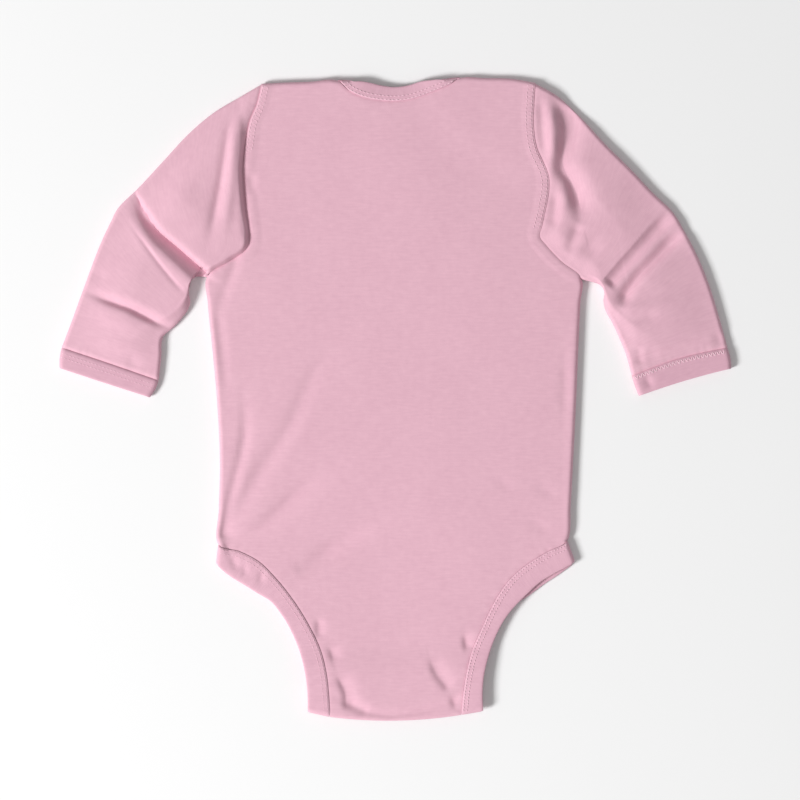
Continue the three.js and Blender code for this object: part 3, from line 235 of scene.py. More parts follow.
FOLDS = tuple(Fold(*row) for row in (
    # Left sleeve: elbow, upper puff, armhole, drag line, forearm and wrist
    ((-167, 133.5, -160, 120.1, -151, 107.3, -140.7, 98.5, -130.4, 89.5, -120.2, 80.6), 8, 1, 6.3,
     0.3, 0.02, Crease.SHARP),
    ((-171, 128, -166.1, 115.9, -157.3, 101.6, -147.1, 91.3, -137.1, 81.9, -127.2, 72.7), -1.6, 3.5,
     6, 0.35, 0.05),
    ((-170.8, 114, -160, 99, -151, 87, -142, 76, -134, 67), 0.8, 1.3, 1.8, 0.4, 0.2),
    ((-145.6, 138.9, -131.5, 121, -114.9, 97.9), -0.9, 11, 13),
    ((-99.5, 192.6, -97.6, 176.6, -98.2, 162.6, -98.5, 149.8, -97.6, 137, -97, 124.2, -96.3, 111.4,
     -93.8, 97.9), 0.8, 2.4, 2.4, 0.3, 0.08),
    ((-104, 183.7, -104, 159.4, -105.3, 137, -107.8, 117.8, -111, 98.6), -1.2, 3.6, 4),
    ((-100.8, 188.8, -105.3, 175.4, -108.5, 156.2, -111.7, 137, -115.5, 117.8, -120, 97.3), 1.5,
     3.2, 3.2),
    ((-198.1, 68.4, -182.7, 62.6, -169.9, 58, -159.7, 52.8, -149.4, 48, -141.8, 45.2), 3.2, 3.4,
     2.6, 0.35, 0.3),
    ((-191.7, 55.7, -176.3, 49.9, -159.7, 43.5), -0.5, 5, 5),
    ((-171.2, 28.2, -163.5, 18.6), 0.5, 4, 4),
    ((-196.8, 81.9, -184, 76.2), 0.35, 4, 4, 0.4, 0.4),
    ((-181.4, 103, -182.7, 69.8, -181.4, 37.8), -0.5, 17, 17),
    # Right sleeve: shoulder, armhole, underarm, elbow, forearm, wrist and puffs
    ((102.7, 193.9, 107.2, 183, 109.8, 174.1, 109.1, 163.8, 107.2, 153.6, 107.2, 147.2,
     111.7, 139.5, 114.9, 130.6, 117.4, 120.3, 120, 109.4), 4.5, 8.5, 5, 0.2, 0.25),
    ((109.8, 171, 108.5, 163.8, 107, 153.6, 108.3, 146, 112.7, 138, 116, 130, 118.8, 119), 1.4, 2.2,
     3.2, 0.2, 0.2, Crease.SHARP),
    ((98.2, 190, 100.5, 174, 100, 160, 99, 148, 101, 137), -1.2, 3.2, 3.2, 0.25, 0.3),
    ((92.5, 194.6, 93.8, 175.4, 95.7, 154.9), 1.1, 3, 3),
    ((103.4, 133.8, 102.1, 120.3, 100.2, 107.5), 1.4, 3.5, 3.5),
    ((117.4, 113.3, 113.6, 102.4, 109.8, 92.2), 1.6, 4, 4),
    ((119.4, 100.5, 129.6, 89), 1.2, 8, 8, 0.4, 0.4),
    ((175, 122.9, 162.9, 111.4, 151.4, 98.6, 141.1, 87, 130.9, 74.9), 5.6, 5.4, 8.6, 0.22, 0.08,
     Crease.STEP),
    ((186, 108.8, 175, 98.5, 164.8, 88.2, 155.9, 79.3, 147.6, 67, 143.6, 57.6), 3.8, 3.4, 5, 0.25,
     0.15),
    ((142.4, 49.9, 156.5, 51.8, 170.6, 53.8), 0.9, 4, 4, 0.35, 0.35),
    ((150, 64, 154, 44, 159, 26), -1.3, 30, 7, 0.2, 0.1),
    ((155.2, 34.6, 156.5, 21.8), 0.8, 3, 3, 0.3, 0.2),
    ((159, 32, 167.4, 24.3), 0.5, 5, 5, 0.4, 0.4),
    ((205.1, 44.2, 209, 32.6), 0.9, 4, 4, 0.4, 0.4),
    ((130.9, 165.8, 141.8, 137, 139.2, 111.4), -0.6, 13, 13),
    ((188.5, 95.4, 188.5, 57, 184.6, 31.4), -0.5, 15, 15),
    # Fan of folds at the left hip, and the seat
    ((-111, -90.2, -106.6, -67.2, -102.1, -49.3, -98.2, -32.6, -96.3, -13.4, -98.2, 7), 1.3, 2.4,
     4.4, 0.04, 0.4),
    ((-108.5, -83.8, -102.1, -64.6, -95.7, -42.9, -89.3, -26.2), -0.6, 4, 4, 0.2, 0.4),
    ((-111, -90.2, -99.5, -68.5, -89.3, -51.8, -79, -35.2, -67.5, -17.3, -61.1, -3.2, -50.9, 18.6,
     -38.1, 32.6, -26.6, 43.5), 1.1, 4.4, 7, 0.04, 0.5),
    ((-100.8, -80, -85.4, -59.5, -71.4, -37.8, -58.6, -16, -44.5, 9.6), -0.3, 5.5, 6, 0.3, 0.4),
    ((-111, -94.1, -99.5, -90.2, -86.7, -82.6, -73.9, -71, -63.7, -60.8, -48.3, -49.3, -36.8, -41),
     1.5, 4, 7.5, 0.04, 0.45),
    ((-63.7, -113.9, -45.8, -99.2, -35.5, -92.8, -22.7, -86.4, -9.9, -78.7), 1.9, 6, 7, 0.5, 0.45),
    # Sides of the body
    ((-113, 65.9, -113, 53.1, -109.8, 25, -107.8, -1.9), 0.7, 3, 3, 0.3, 0.5),
    ((-116.8, 57, -114.2, -0.6, -113, -58.2), -0.25, 3, 3),
    ((-100.2, 94.1, -105.9, 76.8, -109.8, 66.6, -112.3, 52.5), 1, 3.4, 3.4, 0.15, 0.4),
    ((-92.5, 145.3, -91.2, 129.3), 0.9, 2.4, 2.4, 0.3, 0.4),
    ((108.5, 30.1, 108.5, 9, 107.8, -13.4), 0.5, 3, 3, 0.35, 0.35),
    ((113, 55.7, 112.3, -0.6, 111, -51.8, 109.8, -95.4), -0.25, 3, 3, 0.2, 0.2),
    ((83.5, -76.8, 101.4, -85.8), 0.35, 4, 4, 0.4, 0.4),
    ((63, -49.9, 75.8, -58.9), 0.3, 4, 4, 0.4, 0.4),
    ((88.6, -53.8, 104, -62.7), 0.35, 4, 4, 0.4, 0.4),
    # Crotch and legs
    ((-37.4, -175.4, -34.2, -181.8, -31.7, -187.5, -31, -199), 1.5, 6, 2.4, 0.3, 0.2),
    ((-41.9, -157.4, -38.7, -169), 1.2, 5, 2.2, 0.4, 0.4),
    ((22.1, -165.1, 26.6, -175.4, 30.4, -180.5, 35.5, -186.2), 1.4, 6.5, 2.6, 0.3, 0.2),
    ((35.5, -188.8, 39.4, -197.8), 1.2, 4.6, 2.4, 0.4, 0.4),
    ((44.1, -149, 46.2, -162.5), 1.4, 4.4, 2.2, 0.4, 0.4),
    ((-49, -139.5, -49.6, -154.2), 1.1, 4, 1.9, 0.3, 0.4),
    ((-66.2, -110.7, -50.9, -103, -33, -92.2), 0.7, 5, 5, 0.2, 0.4),
    ((-41.9, -188.8, -22, -198.7, -3.5, -202, 18.2, -198.7, 41.9, -190.2), 0.9, 3, 2.2),
    ((-31.7, -193.3, -15.7, -200.3), 0.9, 4, 4),
    # Left leg binding and right cuff
    ((-105.3, -99.8, -100.2, -110.1), 0.9, 2.2, 2.2),
    ((-97.6, -104.3, -95, -113.9), 0.8, 2, 2),
    ((-85.4, -108.2, -86.1, -119), 0.8, 2, 2),
    ((159, 14.7, 164.2, 7), 1, 3, 3),
))


def smooth(value: Array, low: float, high: float) -> Array:
    """Rise smoothly from 0 at low to 1 at high."""
    share = np.clip((value - low) / (high - low), 0, 1)
    return share * share * (3 - 2 * share)


def arch(share: Array) -> Array:
    """Rise from 0 at both ends of a share to 1 in its middle."""
    return 4 * share * (1 - share)


def mix(a: Array, b: Array, share: Array | float) -> Array:
    """Blend two arrays of points, with one share for each point."""
    share = np.asarray(share, float)
    return a + (b - a) * (share[..., None] if share.ndim else share)


def pair(x: Array | float, y: Array | float) -> Array:
    """Join two numbers at each place into points."""
    return np.stack(np.broadcast_arrays(x, y), axis=-1)


def raised(plan: Array, z: Array) -> Array:
    """Put a height on each plan point."""
    return np.concatenate([plan, z[..., None]], axis=-1)


def bowed(ends: Sequence[Array], share: Array, margin: Array | float) -> Array:
    """Give points across a section through its first, middle and last point, inside a margin.

    Args:
        ends: First end, middle and last end.
        share: Share of the way across.
        margin: Share left free at each end.

    Returns:
        A point for each share.
    """
    first, middle, last = ends
    across = margin + share * (1 - 2 * margin)
    bow = middle - (first + last) / 2
    return first + (last - first) * across[..., None] + bow * arch(across)[..., None]


def joined(parts: Iterable[tuple[Array, list]]) -> tuple[Array, list]:
    """Join meshes, each given as its points and its faces.

    Args:
        parts: Points and faces of each mesh.

    Returns:
        Points and faces of all of them.
    """
    points, faces, first = [], [], 0
    for more, corners in parts:
        points.append(more)
        faces += [[first + k for k in face] for face in corners]
        first += len(more)
    return np.vstack(points), faces


def close_to(points: Array, line: Array, reach: float) -> Array:
    """Number the plan points in the box that reaches a distance round a line."""
    inside = (points > line.min(0) - reach) & (points < line.max(0) + reach)
    return np.flatnonzero(np.all(inside, axis=1))


def along_of(line: Array) -> Array:
    """Give the distance along a run of points at each of them."""
    steps = np.linalg.norm(np.diff(line, axis=0), axis=1)
    return np.concatenate([[0.0], np.cumsum(steps)])


def nearest(points: Array, line: Array) -> tuple[Array, Array, Array]:
    """Find where points lie beside a run of straight pieces.

    Args:
        points: Plan points, (n, 2).
        line: Points of the line, (m, 2).

    Returns:
        Distance from the line, distance along it, and side: positive on its left.
    """
    best = np.full(len(points), np.inf)
    along, side = np.zeros(len(points)), np.ones(len(points))
    before = along_of(line)
    for k in range(len(line) - 1):
        step = line[k + 1] - line[k]
        length = max(float(step @ step), 1e-12)
        offset = points - line[k]
        share = np.clip(offset @ step / length, 0, 1)
        rest = offset - share[:, None] * step
        away = np.einsum("ij,ij->i", rest, rest)
        closer = away < best
        best = np.where(closer, away, best)
        along = np.where(closer, before[k] + share * math.sqrt(length), along)
        turn = step[0] * offset[:, 1] - step[1] * offset[:, 0]
        side = np.where(closer, turn, side)
    return np.sqrt(best), along, side


def is_inside(points: Array, outline: Array) -> Array:
    """Say which plan points lie inside a closed outline.

    Args:
        points: Plan points, (n, 2), in millimetres.
        outline: Corners of the outline, (m, 2).

    Returns:
        True for each point inside.
    """
    inside = np.zeros(len(points), bool)
    for a, b in zip(outline, np.roll(outline, -1, axis=0)):
        crosses = (a[1] > points[:, 1]) != (b[1] > points[:, 1])
        rise = b[1] - a[1] or TINY
        inside ^= crosses & (points[:, 0] < a[0] + (points[:, 1] - a[1]) * (b[0] - a[0]) / rise)
    return inside


class PlanLine:
    """A smooth line in plan through a run of points; a place on it is a row number."""

    def __init__(self, rows: Sequence[Sequence[float]], column: int = 0) -> None:
        """Fit the line.

        Args:
            rows: Table rows that hold the points.
            column: Column of x; y is in the next one.
        """
        points = np.array([row[column:column + 2] for row in rows], float)
        self.last = len(points) - 1
        whole = np.vstack([2 * points[0] - points[1], points, 2 * points[-1] - points[-2]])
        gaps = np.sqrt(np.linalg.norm(np.diff(whole, axis=0), axis=1))[:, None]
        a, b, c, d = whole[:-3], whole[1:-2], whole[2:-1], whole[3:]
        before, here, after = gaps[:-2], gaps[1:-1], gaps[2:]
        leave = ((b - a) / before - (c - a) / (before + here) + (c - b) / here) * here
        reach = ((c - b) / here - (d - b) / (here + after) + (d - c) / after) * here
        self.terms = (b, leave, 3 * (c - b) - 2 * leave - reach, 2 * (b - c) + leave + reach)

    def at(self, place: Array | float) -> Array:
        """Give the points at places along the line.

        Args:
            place: Row numbers, whole or not.

        Returns:
            A point for each place.
        """
        place = np.clip(np.asarray(place, float), 0, self.last)
        row = np.minimum(place.astype(int), self.last - 1)
        t = (place - row)[..., None]
        b, c, d, e = (term[row] for term in self.terms)
        return b + t * (c + t * (d + t * e))

    def beside(self, place: Array | float, distance: Array | float) -> Array:
        """Give the points a distance to the left of places along the line.

        Args:
            place: Row numbers, whole or not.
            distance: How far to move, in millimetres.

        Returns:
            A point for each place.
        """
        place = np.asarray(place, float)
        step = self.at(place + 0.02) - self.at(place - 0.02)
        step = step / np.linalg.norm(step, axis=-1, keepdims=True)
        across = pair(-step[..., 1], step[..., 0])
        return self.at(place) + across * np.broadcast_to(distance, place.shape)[..., None]

    def run(self, start: float, end: float, steps: int) -> Array:
        """Give evenly numbered points from one place to another."""
        return self.at(np.linspace(start, end, steps + 1))

    def stops(self, start: float, end: float, spacing: float, edges: str = "") -> Array:
        """Choose places about evenly spaced in millimetres, closer together at folded edges.

        Args:
            start: First place.
            end: Last place.
            spacing: Distance between places, in millimetres.
            edges: "s" and "e" name the ends that lie beside a fold or seam.

        Returns:
            Places along the line, in order.
        """
        fine = np.linspace(start, end, 2001)
        along = along_of(self.at(fine))
        length = along[-1]
        first = CLOSE_STOPS if "s" in edges else CLOSE_STOPS[:1]
        last = length - (CLOSE_STOPS[::-1] if "e" in edges else CLOSE_STOPS[:1])
        count = max(int((last[0] - first[-1]) / spacing), 1)
        middle = np.linspace(first[-1], last[0], count + 1)[1:-1]
        return np.interp(np.concatenate([first, middle, last]), along, fine)

    def chain(self, marks: Sequence[float], spacing: float, edges: Sequence[str]) -> Array:
        """Choose places in stretches between marks, with the folded edges of each stretch."""
        runs = [self.stops(a, b, spacing, edge) for a, b, edge in zip(marks, marks[1:], edges)]
        return np.concatenate([runs[0], *(run[1:] for run in runs[1:])])


SIDE = {"left": PlanLine(BODY_ROWS), "right": PlanLine(BODY_ROWS, 2)}
OUTWARD = {"left": -1, "right": 1}
TOP = PlanLine(TOP_ROWS)
NECK_FREE = PlanLine(NECK_FREE_ROWS)
FRONT_NECK = PlanLine(FRONT_NECK_ROWS)
LEG_EDGE = {"left": PlanLine(LEG_EDGE_ROWS), "right": PlanLine(LEG_EDGE_ROWS, 2)}
CUFF_SEAM = {side: np.reshape(rows[0], (3, 2)) for side, rows in CUFF_ROWS.items()}


def body_side(side: str, row: Array, inward: Array | float) -> Array:
    """Give points of a side of the body, moved inward from its seam line."""
    return SIDE[side].beside(row, -OUTWARD[side] * np.asarray(inward))


def body_inset(row: Array) -> Array:
    """Give the middle of the cloth's distance from the outline: more at a folded side."""
    folded = smooth(row, ARMPIT_ROW - 0.4, ARMPIT_ROW) * (1 - smooth(row, HIP_ROW, HIP_ROW + 0.4))
    return HALF_GAP + (HALF_CLOTH - HALF_GAP) * folded


@dataclass(frozen=True)
class SeamLine:
    """A sewn line that draws the cloth beside it into a ditch and small puckers."""

    line: Array
    ditch: float
    width: float
    pucker: float
    pitch: float
    reach: float

    def height(self, points: Array) -> Array:
        """Work out the seam's ditch and puckers at plan points.

        Args:
            points: Plan points, (n, 2), in millimetres.

        Returns:
            Height to add at each point.
        """
        near = close_to(points, self.line, 3 * self.reach)
        away, along, _ = nearest(points[near], self.line)
        turn = 2 * math.pi * along / self.pitch
        wave = np.sin(turn + 1.7 * np.sin(0.31 * turn + 2)) * (0.6 + 0.4 * np.sin(0.17 * turn))
        out = np.zeros(len(points))
        out[near] = self.pucker * wave * np.exp(-((away / self.reach) ** 2))
        out[near] -= self.ditch * np.exp(-((away / self.width) ** 2))
        return out


@dataclass
class Layers:
    """Heights of the garment's layers over a plan point, with folds, seams and soft waves."""

    folds: tuple[Fold, ...] = FOLDS
    wave_height: float = 0.1
    wave_lengths: tuple[float, ...] = (150, 120, 95, 70, 52)
    margin: float = 3.0
    fade: float = 24.0
    edges: list[Array] = field(default_factory=list)
    overlaps: list[Array] = field(default_factory=list)
    seams: list[SeamLine] = field(default_factory=list)

    def __post_init__(self) -> None:
        """Lay out the folded edges, the shoulder overlaps and the seam lines."""
        neck_ends = NECK_FREE.at([0, NECK_FREE.last])
        self.edges = [
            np.vstack([TOP.run(0, NECK_FIRST, 12), neck_ends[:1]]),
            np.vstack([neck_ends[1:], TOP.run(NECK_LAST, TOP_LAST, 12)]),
        ]
        self.seams = [SeamLine(TOP.run(NECK_FIRST, NECK_LAST, 60), 0.3, 1.0, 0.1, 5.0, 4.0)]
        ends = zip(SIDE, TOP.at([0, TOP_LAST]), neck_ends, (0.7, 0.35))
        for side, shoulder, neck_end, ditch in ends:
            self.edges.append(SIDE[side].run(ARMPIT_ROW, HIP_ROW, 40))
            for column in (0, 2):
                self.edges.append(PlanLine(SLEEVE_ROWS[side], column).run(0, SLEEVE_LAST, 60))
            free = [row[2:] for row in FLAP_ROWS[side][-2::-1]]
            self.overlaps.append(np.vstack([shoulder, neck_end, free]))
            self.seams += [
                SeamLine(SIDE[side].run(FOLD_ROW, ARMPIT_ROW, 80), ditch, 1.0, 0.08, 7.0, 4.0),
                SeamLine(SIDE[side].run(HIP_ROW, CROTCH_ROW, 90), 0.12, 1.0, 0.12, 7.5, 5.0),
                SeamLine(PlanLine(CUFF_SEAM[side]).run(0, 2, 24), 1.0, 0.9, 0.07, 7.0, 5.0),
            ]

    def overlap(self, points: Array) -> Array:
        """Say how far each point lies over a shoulder overlap, from 0 to 1.

        Args:
            points: Plan points, (n, 2), in millimetres.

        Returns:
            A share for each point.
        """
        share = np.zeros(len(points))
        for outline in self.overlaps:
            away = nearest(points, np.vstack([outline, outline[:1]]))[0]
            away[is_inside(points, outline)] = 0
            share = np.maximum(share, 1 - smooth(away, self.margin, self.margin + self.fade))
        return share

    def flat(self, layer: int, y: Array) -> Array:
        """Give the height of a layer of LAYER_ROWS at places along the body.

        Args:
            layer: Column of the layer.
            y: Places along the body.

        Returns:
            Height at each place.
        """
        rows = np.array(LAYER_ROWS)
        place = np.interp(y, rows[:, 0], np.arange(len(rows)))
        row = np.minimum(place.astype(int), len(rows) - 2)
        share = smooth(place - row, 0, 1)
        return rows[row, layer] + (rows[row + 1, layer] - rows[row, layer]) * share

    def front(self, points: Array) -> Array:
        """Give the height of the middle of the front panel under points."""
        rise = OVERLAP_LAYER - BOTTOM_LAYER
        return self.flat(1, points[:, 1]) + rise * self.overlap(points)

    def waves(self, points: Array) -> Array:
        """Give the soft unevenness of cloth that was smoothed by hand.

        Args:
            points: Plan points, (n, 2), in millimetres.

        Returns:
            Height to add at each point.
        """
        rng = np.random.default_rng(SEED)
        out = np.zeros(len(points))
        for length in self.wave_lengths:
            angle, phase = rng.uniform(0, 2 * math.pi, 2)
            along = points @ np.array([math.cos(angle), math.sin(angle)])
            bend = points @ np.array([-math.sin(angle), math.cos(angle)])
            turn = 2 * math.pi * along / length + 1.2 * np.sin(2 * math.pi * bend / (length * 1.7))
            out += self.wave_height * (length / 120) ** 1.4 * np.sin(turn + phase)
        return out

    def relief(self, points: Array) -> Array:
        """Give what all the folds and seams add at plan points."""
        return sum(mark.height(points) for mark in (*self.folds, *self.seams))

    def top(self, points: Array, under: Array, lift: Array | float = 0.0) -> Array:
        """Give the height of the middle of the top layer away from folded edges.

        Args:
            points: Plan points, (n, 2), in millimetres.
            under: Middle of the layer beneath each point.
            lift: How much the cloth stands up off its layer.

        Returns:
            Height at each point, kept clear of the layer beneath.
        """
        height = self.flat(3, points[:, 1]) + OVERLAP_RISE * self.overlap(points)
        height = height + self.waves(points) + lift + self.relief(points)
        floor = under + CLOTH + CLEARANCE
        return floor + CLEARANCE_ROUND * np.logaddexp(0, (height - floor) / CLEARANCE_ROUND)

    def from_fold(self, points: Array) -> Array:
        """Give the distance of the middle of the cloth from the nearest folded edge."""
        return np.min([nearest(points, edge)[0] for edge in self.edges], axis=0) - HALF_CLOTH


LAYERS = Layers()
CROTCH_Y = np.array([BODY_ROWS[CROTCH_ROW][1]])
CROTCH_MIDDLE = float(LAYERS.flat(3, CROTCH_Y)[0] + LAYERS.flat(2, CROTCH_Y)[0]) / 2


def beside_fold(
    distance: Array, middle: Array | float, level: Array | float, reach: float = FOLD_ROUND
) -> Array:
    """Round a layer down to the middle of a fold.

    Args:
        distance: Distance from the fold, in millimetres.
        middle: Height of the fold itself.
        level: Height of the layer away from it.
        reach: Distance over which the layer rounds down.

    Returns:
        Height at each distance.
    """
    share = 1 - np.clip(distance / reach, 0, 1)
    return middle + (level - middle) * np.sqrt(1 - share * share)


def on_grid(points: Array, height: Height) -> Array:
    """Add a height to each plan point of a grid."""
    return raised(points, height(points.reshape(-1, 2)).reshape(points.shape[:-1]))


class Slot(Enum):
    """Material slots of the record."""

    JERSEY = "jersey"
    BINDING = "binding"
    SNAP = "snap"


class Stitch(Enum):
    """How thread lies on a seam."""

    RUN = "run"
    BARS = "bars"
    ZIGZAG = "zigzag"


def nothing_selected() -> None:
    """Deselect everything and leave edit mode."""
    if bpy.context.object and bpy.context.object.mode != "OBJECT":
        bpy.ops.object.mode_set(mode="OBJECT")
    bpy.ops.object.select_all(action="DESELECT")


def only(piece: Piece) -> None:
    """Select one object alone and make it active.

    Args:
        piece: The object.
    """
    nothing_selected()
    piece.select_set(True)
    bpy.context.view_layer.objects.active = piece


def mesh_object(name: str, points: Array, faces: list | Array) -> Piece:
    """Make an object at the origin from points in millimetres.

    Args:
        name: Name of the object and its mesh.
        points: Points, (n, 3), in millimetres.
        faces: Corners of each face.

    Returns:
        The object, linked to the scene.
    """
    mesh = bpy.data.meshes.new(name)
    faces = faces.tolist() if isinstance(faces, np.ndarray) else faces
    mesh.from_pydata((points * MM).tolist(), [], faces)
    mesh.update()
    piece = bpy.data.objects.new(name, mesh)
    bpy.context.scene.collection.objects.link(piece)
    return piece


@dataclass
class ClothPiece:
    """One cut piece of cloth: a closed thin shell grown from a grid through its middle."""

    name: str
    slot: Slot
    flat: Pair
    area: float
    rests_on: tuple[str, ...]
    wall: float = CLOTH
    thread: list[Piece] = field(default_factory=list)
    piece: Piece | None = None

    def build(
        self, grid: Array, knit: Array, tube: bool = False, hole: Array | None = None,
        thin: Array | None = None,
    ) -> Piece:
        """Make the shell.

        Args:
            grid: Middle of the cloth, (rows, columns, 3), in millimetres.
            knit: Place of each point on the cut cloth, (rows, columns, 2), in millimetres.
            tube: Whether the last column joins the first.
            hole: Cells, (rows - 1, columns - 1), that are left out.
            thin: Share of the wall at each column, for edges that are rounded off.

        Returns:
            The finished piece.
        """
        rows, columns = grid.shape[:2]
        number = np.arange(rows * columns).reshape(rows, columns)
        if tube:
            number = np.hstack([number, number[:, :1]])
        cells = np.stack(
            [number[:-1, :-1], number[1:, :-1], number[1:, 1:], number[:-1, 1:]], axis=-1
        )
        cells = cells[~hole] if hole is not None else cells.reshape(-1, 4)
        used, corners = np.unique(cells, return_inverse=True)
        points = grid.reshape(-1, 3)[used]
        self.piece = mesh_object(self.name + "_cloth", points, corners.reshape(-1, 4))
        mesh = self.piece.data
        on_loops = np.empty(len(mesh.loops), dtype=np.int32)
        mesh.loops.foreach_get("vertex_index", on_loops)
        layer = mesh.uv_layers.new(name="knit")
        layer.data.foreach_set("uv", knit.reshape(-1, 2)[used][on_loops].astype(np.float32).ravel())
        solid = self.piece.modifiers.new("wall", "SOLIDIFY")
        solid.thickness, solid.offset = self.wall * MM, 0
        solid.use_even_offset, solid.use_rim = False, True
        if thin is not None:
            group = self.piece.vertex_groups.new(name="wall")
            share = np.broadcast_to(thin, (rows, columns)).reshape(-1)[used]
            for value in np.unique(share):
                group.add(np.flatnonzero(share == value).tolist(), float(value), "REPLACE")
            solid.vertex_group = group.name
        only(self.piece)
        bpy.ops.object.modifier_apply(modifier=solid.name)
        self.piece.vertex_groups.clear()
        bpy.ops.object.shade_smooth_by_angle(angle=CLOTH_ANGLE)
        return self.piece

    def hand_over(self, finish: Material) -> None:
        """Args:
            finish: Material of the cloth.
        """
        self.piece.data.materials.append(finish)
        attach(self.piece, "root")
        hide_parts(self.name)
        LOG.info("%s: %d faces", self.piece.name, len(self.piece.data.polygons))


@dataclass
class BackPanel(ClothPiece):
    """The back with its two shoulder flaps and its turned-under crotch tail."""

    spacing: float = 1.55
    under_spacing: float = 3.0
    dip_rows: float = 8.0
    sag_rows: float = 3.0
    fold_rows: float = 0.5
    allowance_end: Pair = (5.6, 6.7)
    allowance_rise: float = 0.3

    def plan(self, column: Array, row: Array) -> Array:
        """Give plan points from places along the top edge and down the sides.

        Args:
            column: Places along the top edge.
            row: Places down the sides.

        Returns:
            A point for each pair of places.
        """
        column, row = np.broadcast_arrays(column, row)
        top, start, end = TOP.at(column), TOP.at(0), TOP.at(TOP_LAST)
        share = (top[..., 0] - start[0]) / (end[0] - start[0])
        inset = body_inset(row)
        point = mix(body_side("left", row, inset), body_side("right", row, inset), share)
        drop = start[1] + end[1] - SIDE["left"].at(FOLD_ROW)[1] - SIDE["right"].at(FOLD_ROW)[1]
        neck = ((column >= NECK_FIRST) & (column <= NECK_LAST)) * (HALF_GAP - drop / 2)
        dip = top[..., 1] - start[1] - (end[1] - start[1]) * share - neck
        point[..., 1] += dip * (1 - smooth(row, 0, self.dip_rows))
        sag = smooth(row, CROTCH_ROW - self.sag_rows, CROTCH_ROW)
        point[..., 1] -= CROTCH_SAG * arch(share) * sag
        return point

    def flap(self, side: str, column: Array, row: Array) -> Array:
        """Give plan points of a shoulder flap.

        Args:
            side: Which shoulder.
            column: Places along the top edge.
            row: Places down the armhole, one for each row of the grid.

        Returns:
            Plan points, blended between the four edges of the flap.
        """
        left = side == "left"
        line = PlanLine(FLAP_ROWS[side])
        inward = HALF_GAP if left else -HALF_GAP
        share = column / NECK_FIRST if left else (TOP_LAST - column) / (TOP_LAST - NECK_LAST)
        share = np.clip(share, 0, 1)[None, :]
        down = (row - FOLD_ROW)[:, None] / (FLAP_ROW - FOLD_ROW)
        corner = line.last - 1
        fold = self.plan(column, np.array(FOLD_ROW))[None]
        ends = self.plan(np.array([NECK_FIRST, 0] if left else [NECK_LAST, TOP_LAST]), FOLD_ROW)
        bound = line.beside(share * corner, inward)
        armhole = body_side(side, row, HALF_GAP)[:, None]
        neck = line.beside(corner + 1 - down[:, 0], inward)[:, None]
        point = mix(fold, bound, np.broadcast_to(down, (len(row), len(column))))
        corners = line.beside(np.array([0.0, corner]), inward)
        point = point + (armhole - mix(ends[1], corners[0], down)) * (1 - share)[..., None]
        return point + (neck - mix(ends[0], corners[1], down)) * share[..., None]

    def allowance(self, points: Array) -> Array:
        """Raise the cloth over the seam allowance inside the armholes.

        Args:
            points: Plan points, (n, 2), in millimetres.

        Returns:
            Height to add at each point.
        """
        rise = np.zeros(len(points))
        for side in SIDE:
            away, _, turn = nearest(points, SIDE[side].run(FOLD_ROW, ALLOWANCE_ROW, 80))
            inside = turn * OUTWARD[side] < 0
            step = 1 - smooth(away, *self.allowance_end)
            rise = np.maximum(rise, step * inside)
        return rise * self.allowance_rise

    def make(self) -> Piece:
        """Lay out the grid of the whole panel and build it.

        Returns:
            The finished piece.
        """
        line = SIDE["left"]
        columns = TOP.chain((0, NECK_FIRST, NECK_LAST, TOP_LAST), self.spacing, ("se", "se", "se"))
        rows = line.chain(
            (FOLD_ROW, ARMPIT_ROW, HIP_ROW, CROTCH_FOLD_ROW), self.spacing, ("s", "", "se")
        )
        flap_rows = line.stops(FOLD_ROW, FLAP_ROW, self.under_spacing, "s")[:0:-1]
        is_neck = (columns > NECK_FIRST) & (columns < NECK_LAST)
        flaps = np.where(
            (columns <= NECK_FIRST)[None, :, None],
            self.flap("left", columns, flap_rows), self.flap("right", columns, flap_rows),
        )
        flaps = on_grid(flaps, lambda p: beside_fold(LAYERS.from_fold(p), EDGE_HEIGHT, BOTTOM_LAYER))
        body = on_grid(self.plan(columns[None, :], rows[:, None]), self.height)
        shoulder = (columns <= NECK_FIRST) | (columns >= NECK_LAST)
        body[0, shoulder, 2] = EDGE_HEIGHT
        sides = (rows >= ARMPIT_ROW) & (rows <= HIP_ROW)
        body[sides, 0, 2] = body[sides, -1, 2] = EDGE_HEIGHT + HALF_GAP
        fold_y = body[-1, :, 1]
        legs = rows > HIP_ROW + self.fold_rows
        body[legs, :, 2] = beside_fold(body[legs, :, 1] - fold_y, CROTCH_MIDDLE, body[legs, :, 2])
        tail_rows = line.stops(TAIL_ROW, CROTCH_FOLD_ROW, self.under_spacing, "e")[-2::-1]
        tail = self.plan(columns[None, :], tail_rows[:, None])
        z = beside_fold(tail[..., 1] - fold_y, CROTCH_MIDDLE, LAYERS.flat(2, tail[..., 1]))
        grid = np.vstack([flaps, body, raised(tail, z)])
        hole = np.zeros((len(grid) - 1, len(columns) - 1), bool)
        hole[:len(flap_rows)] = is_neck[1:] | is_neck[:-1]
        return self.build(grid, grid[..., :2], hole=hole)

    def height(self, points: Array) -> Array:
        """Give the height of the panel's middle at plan points."""
        level = LAYERS.top(points, LAYERS.front(points)) + self.allowance(points)
        return beside_fold(LAYERS.from_fold(points), EDGE_HEIGHT, level)


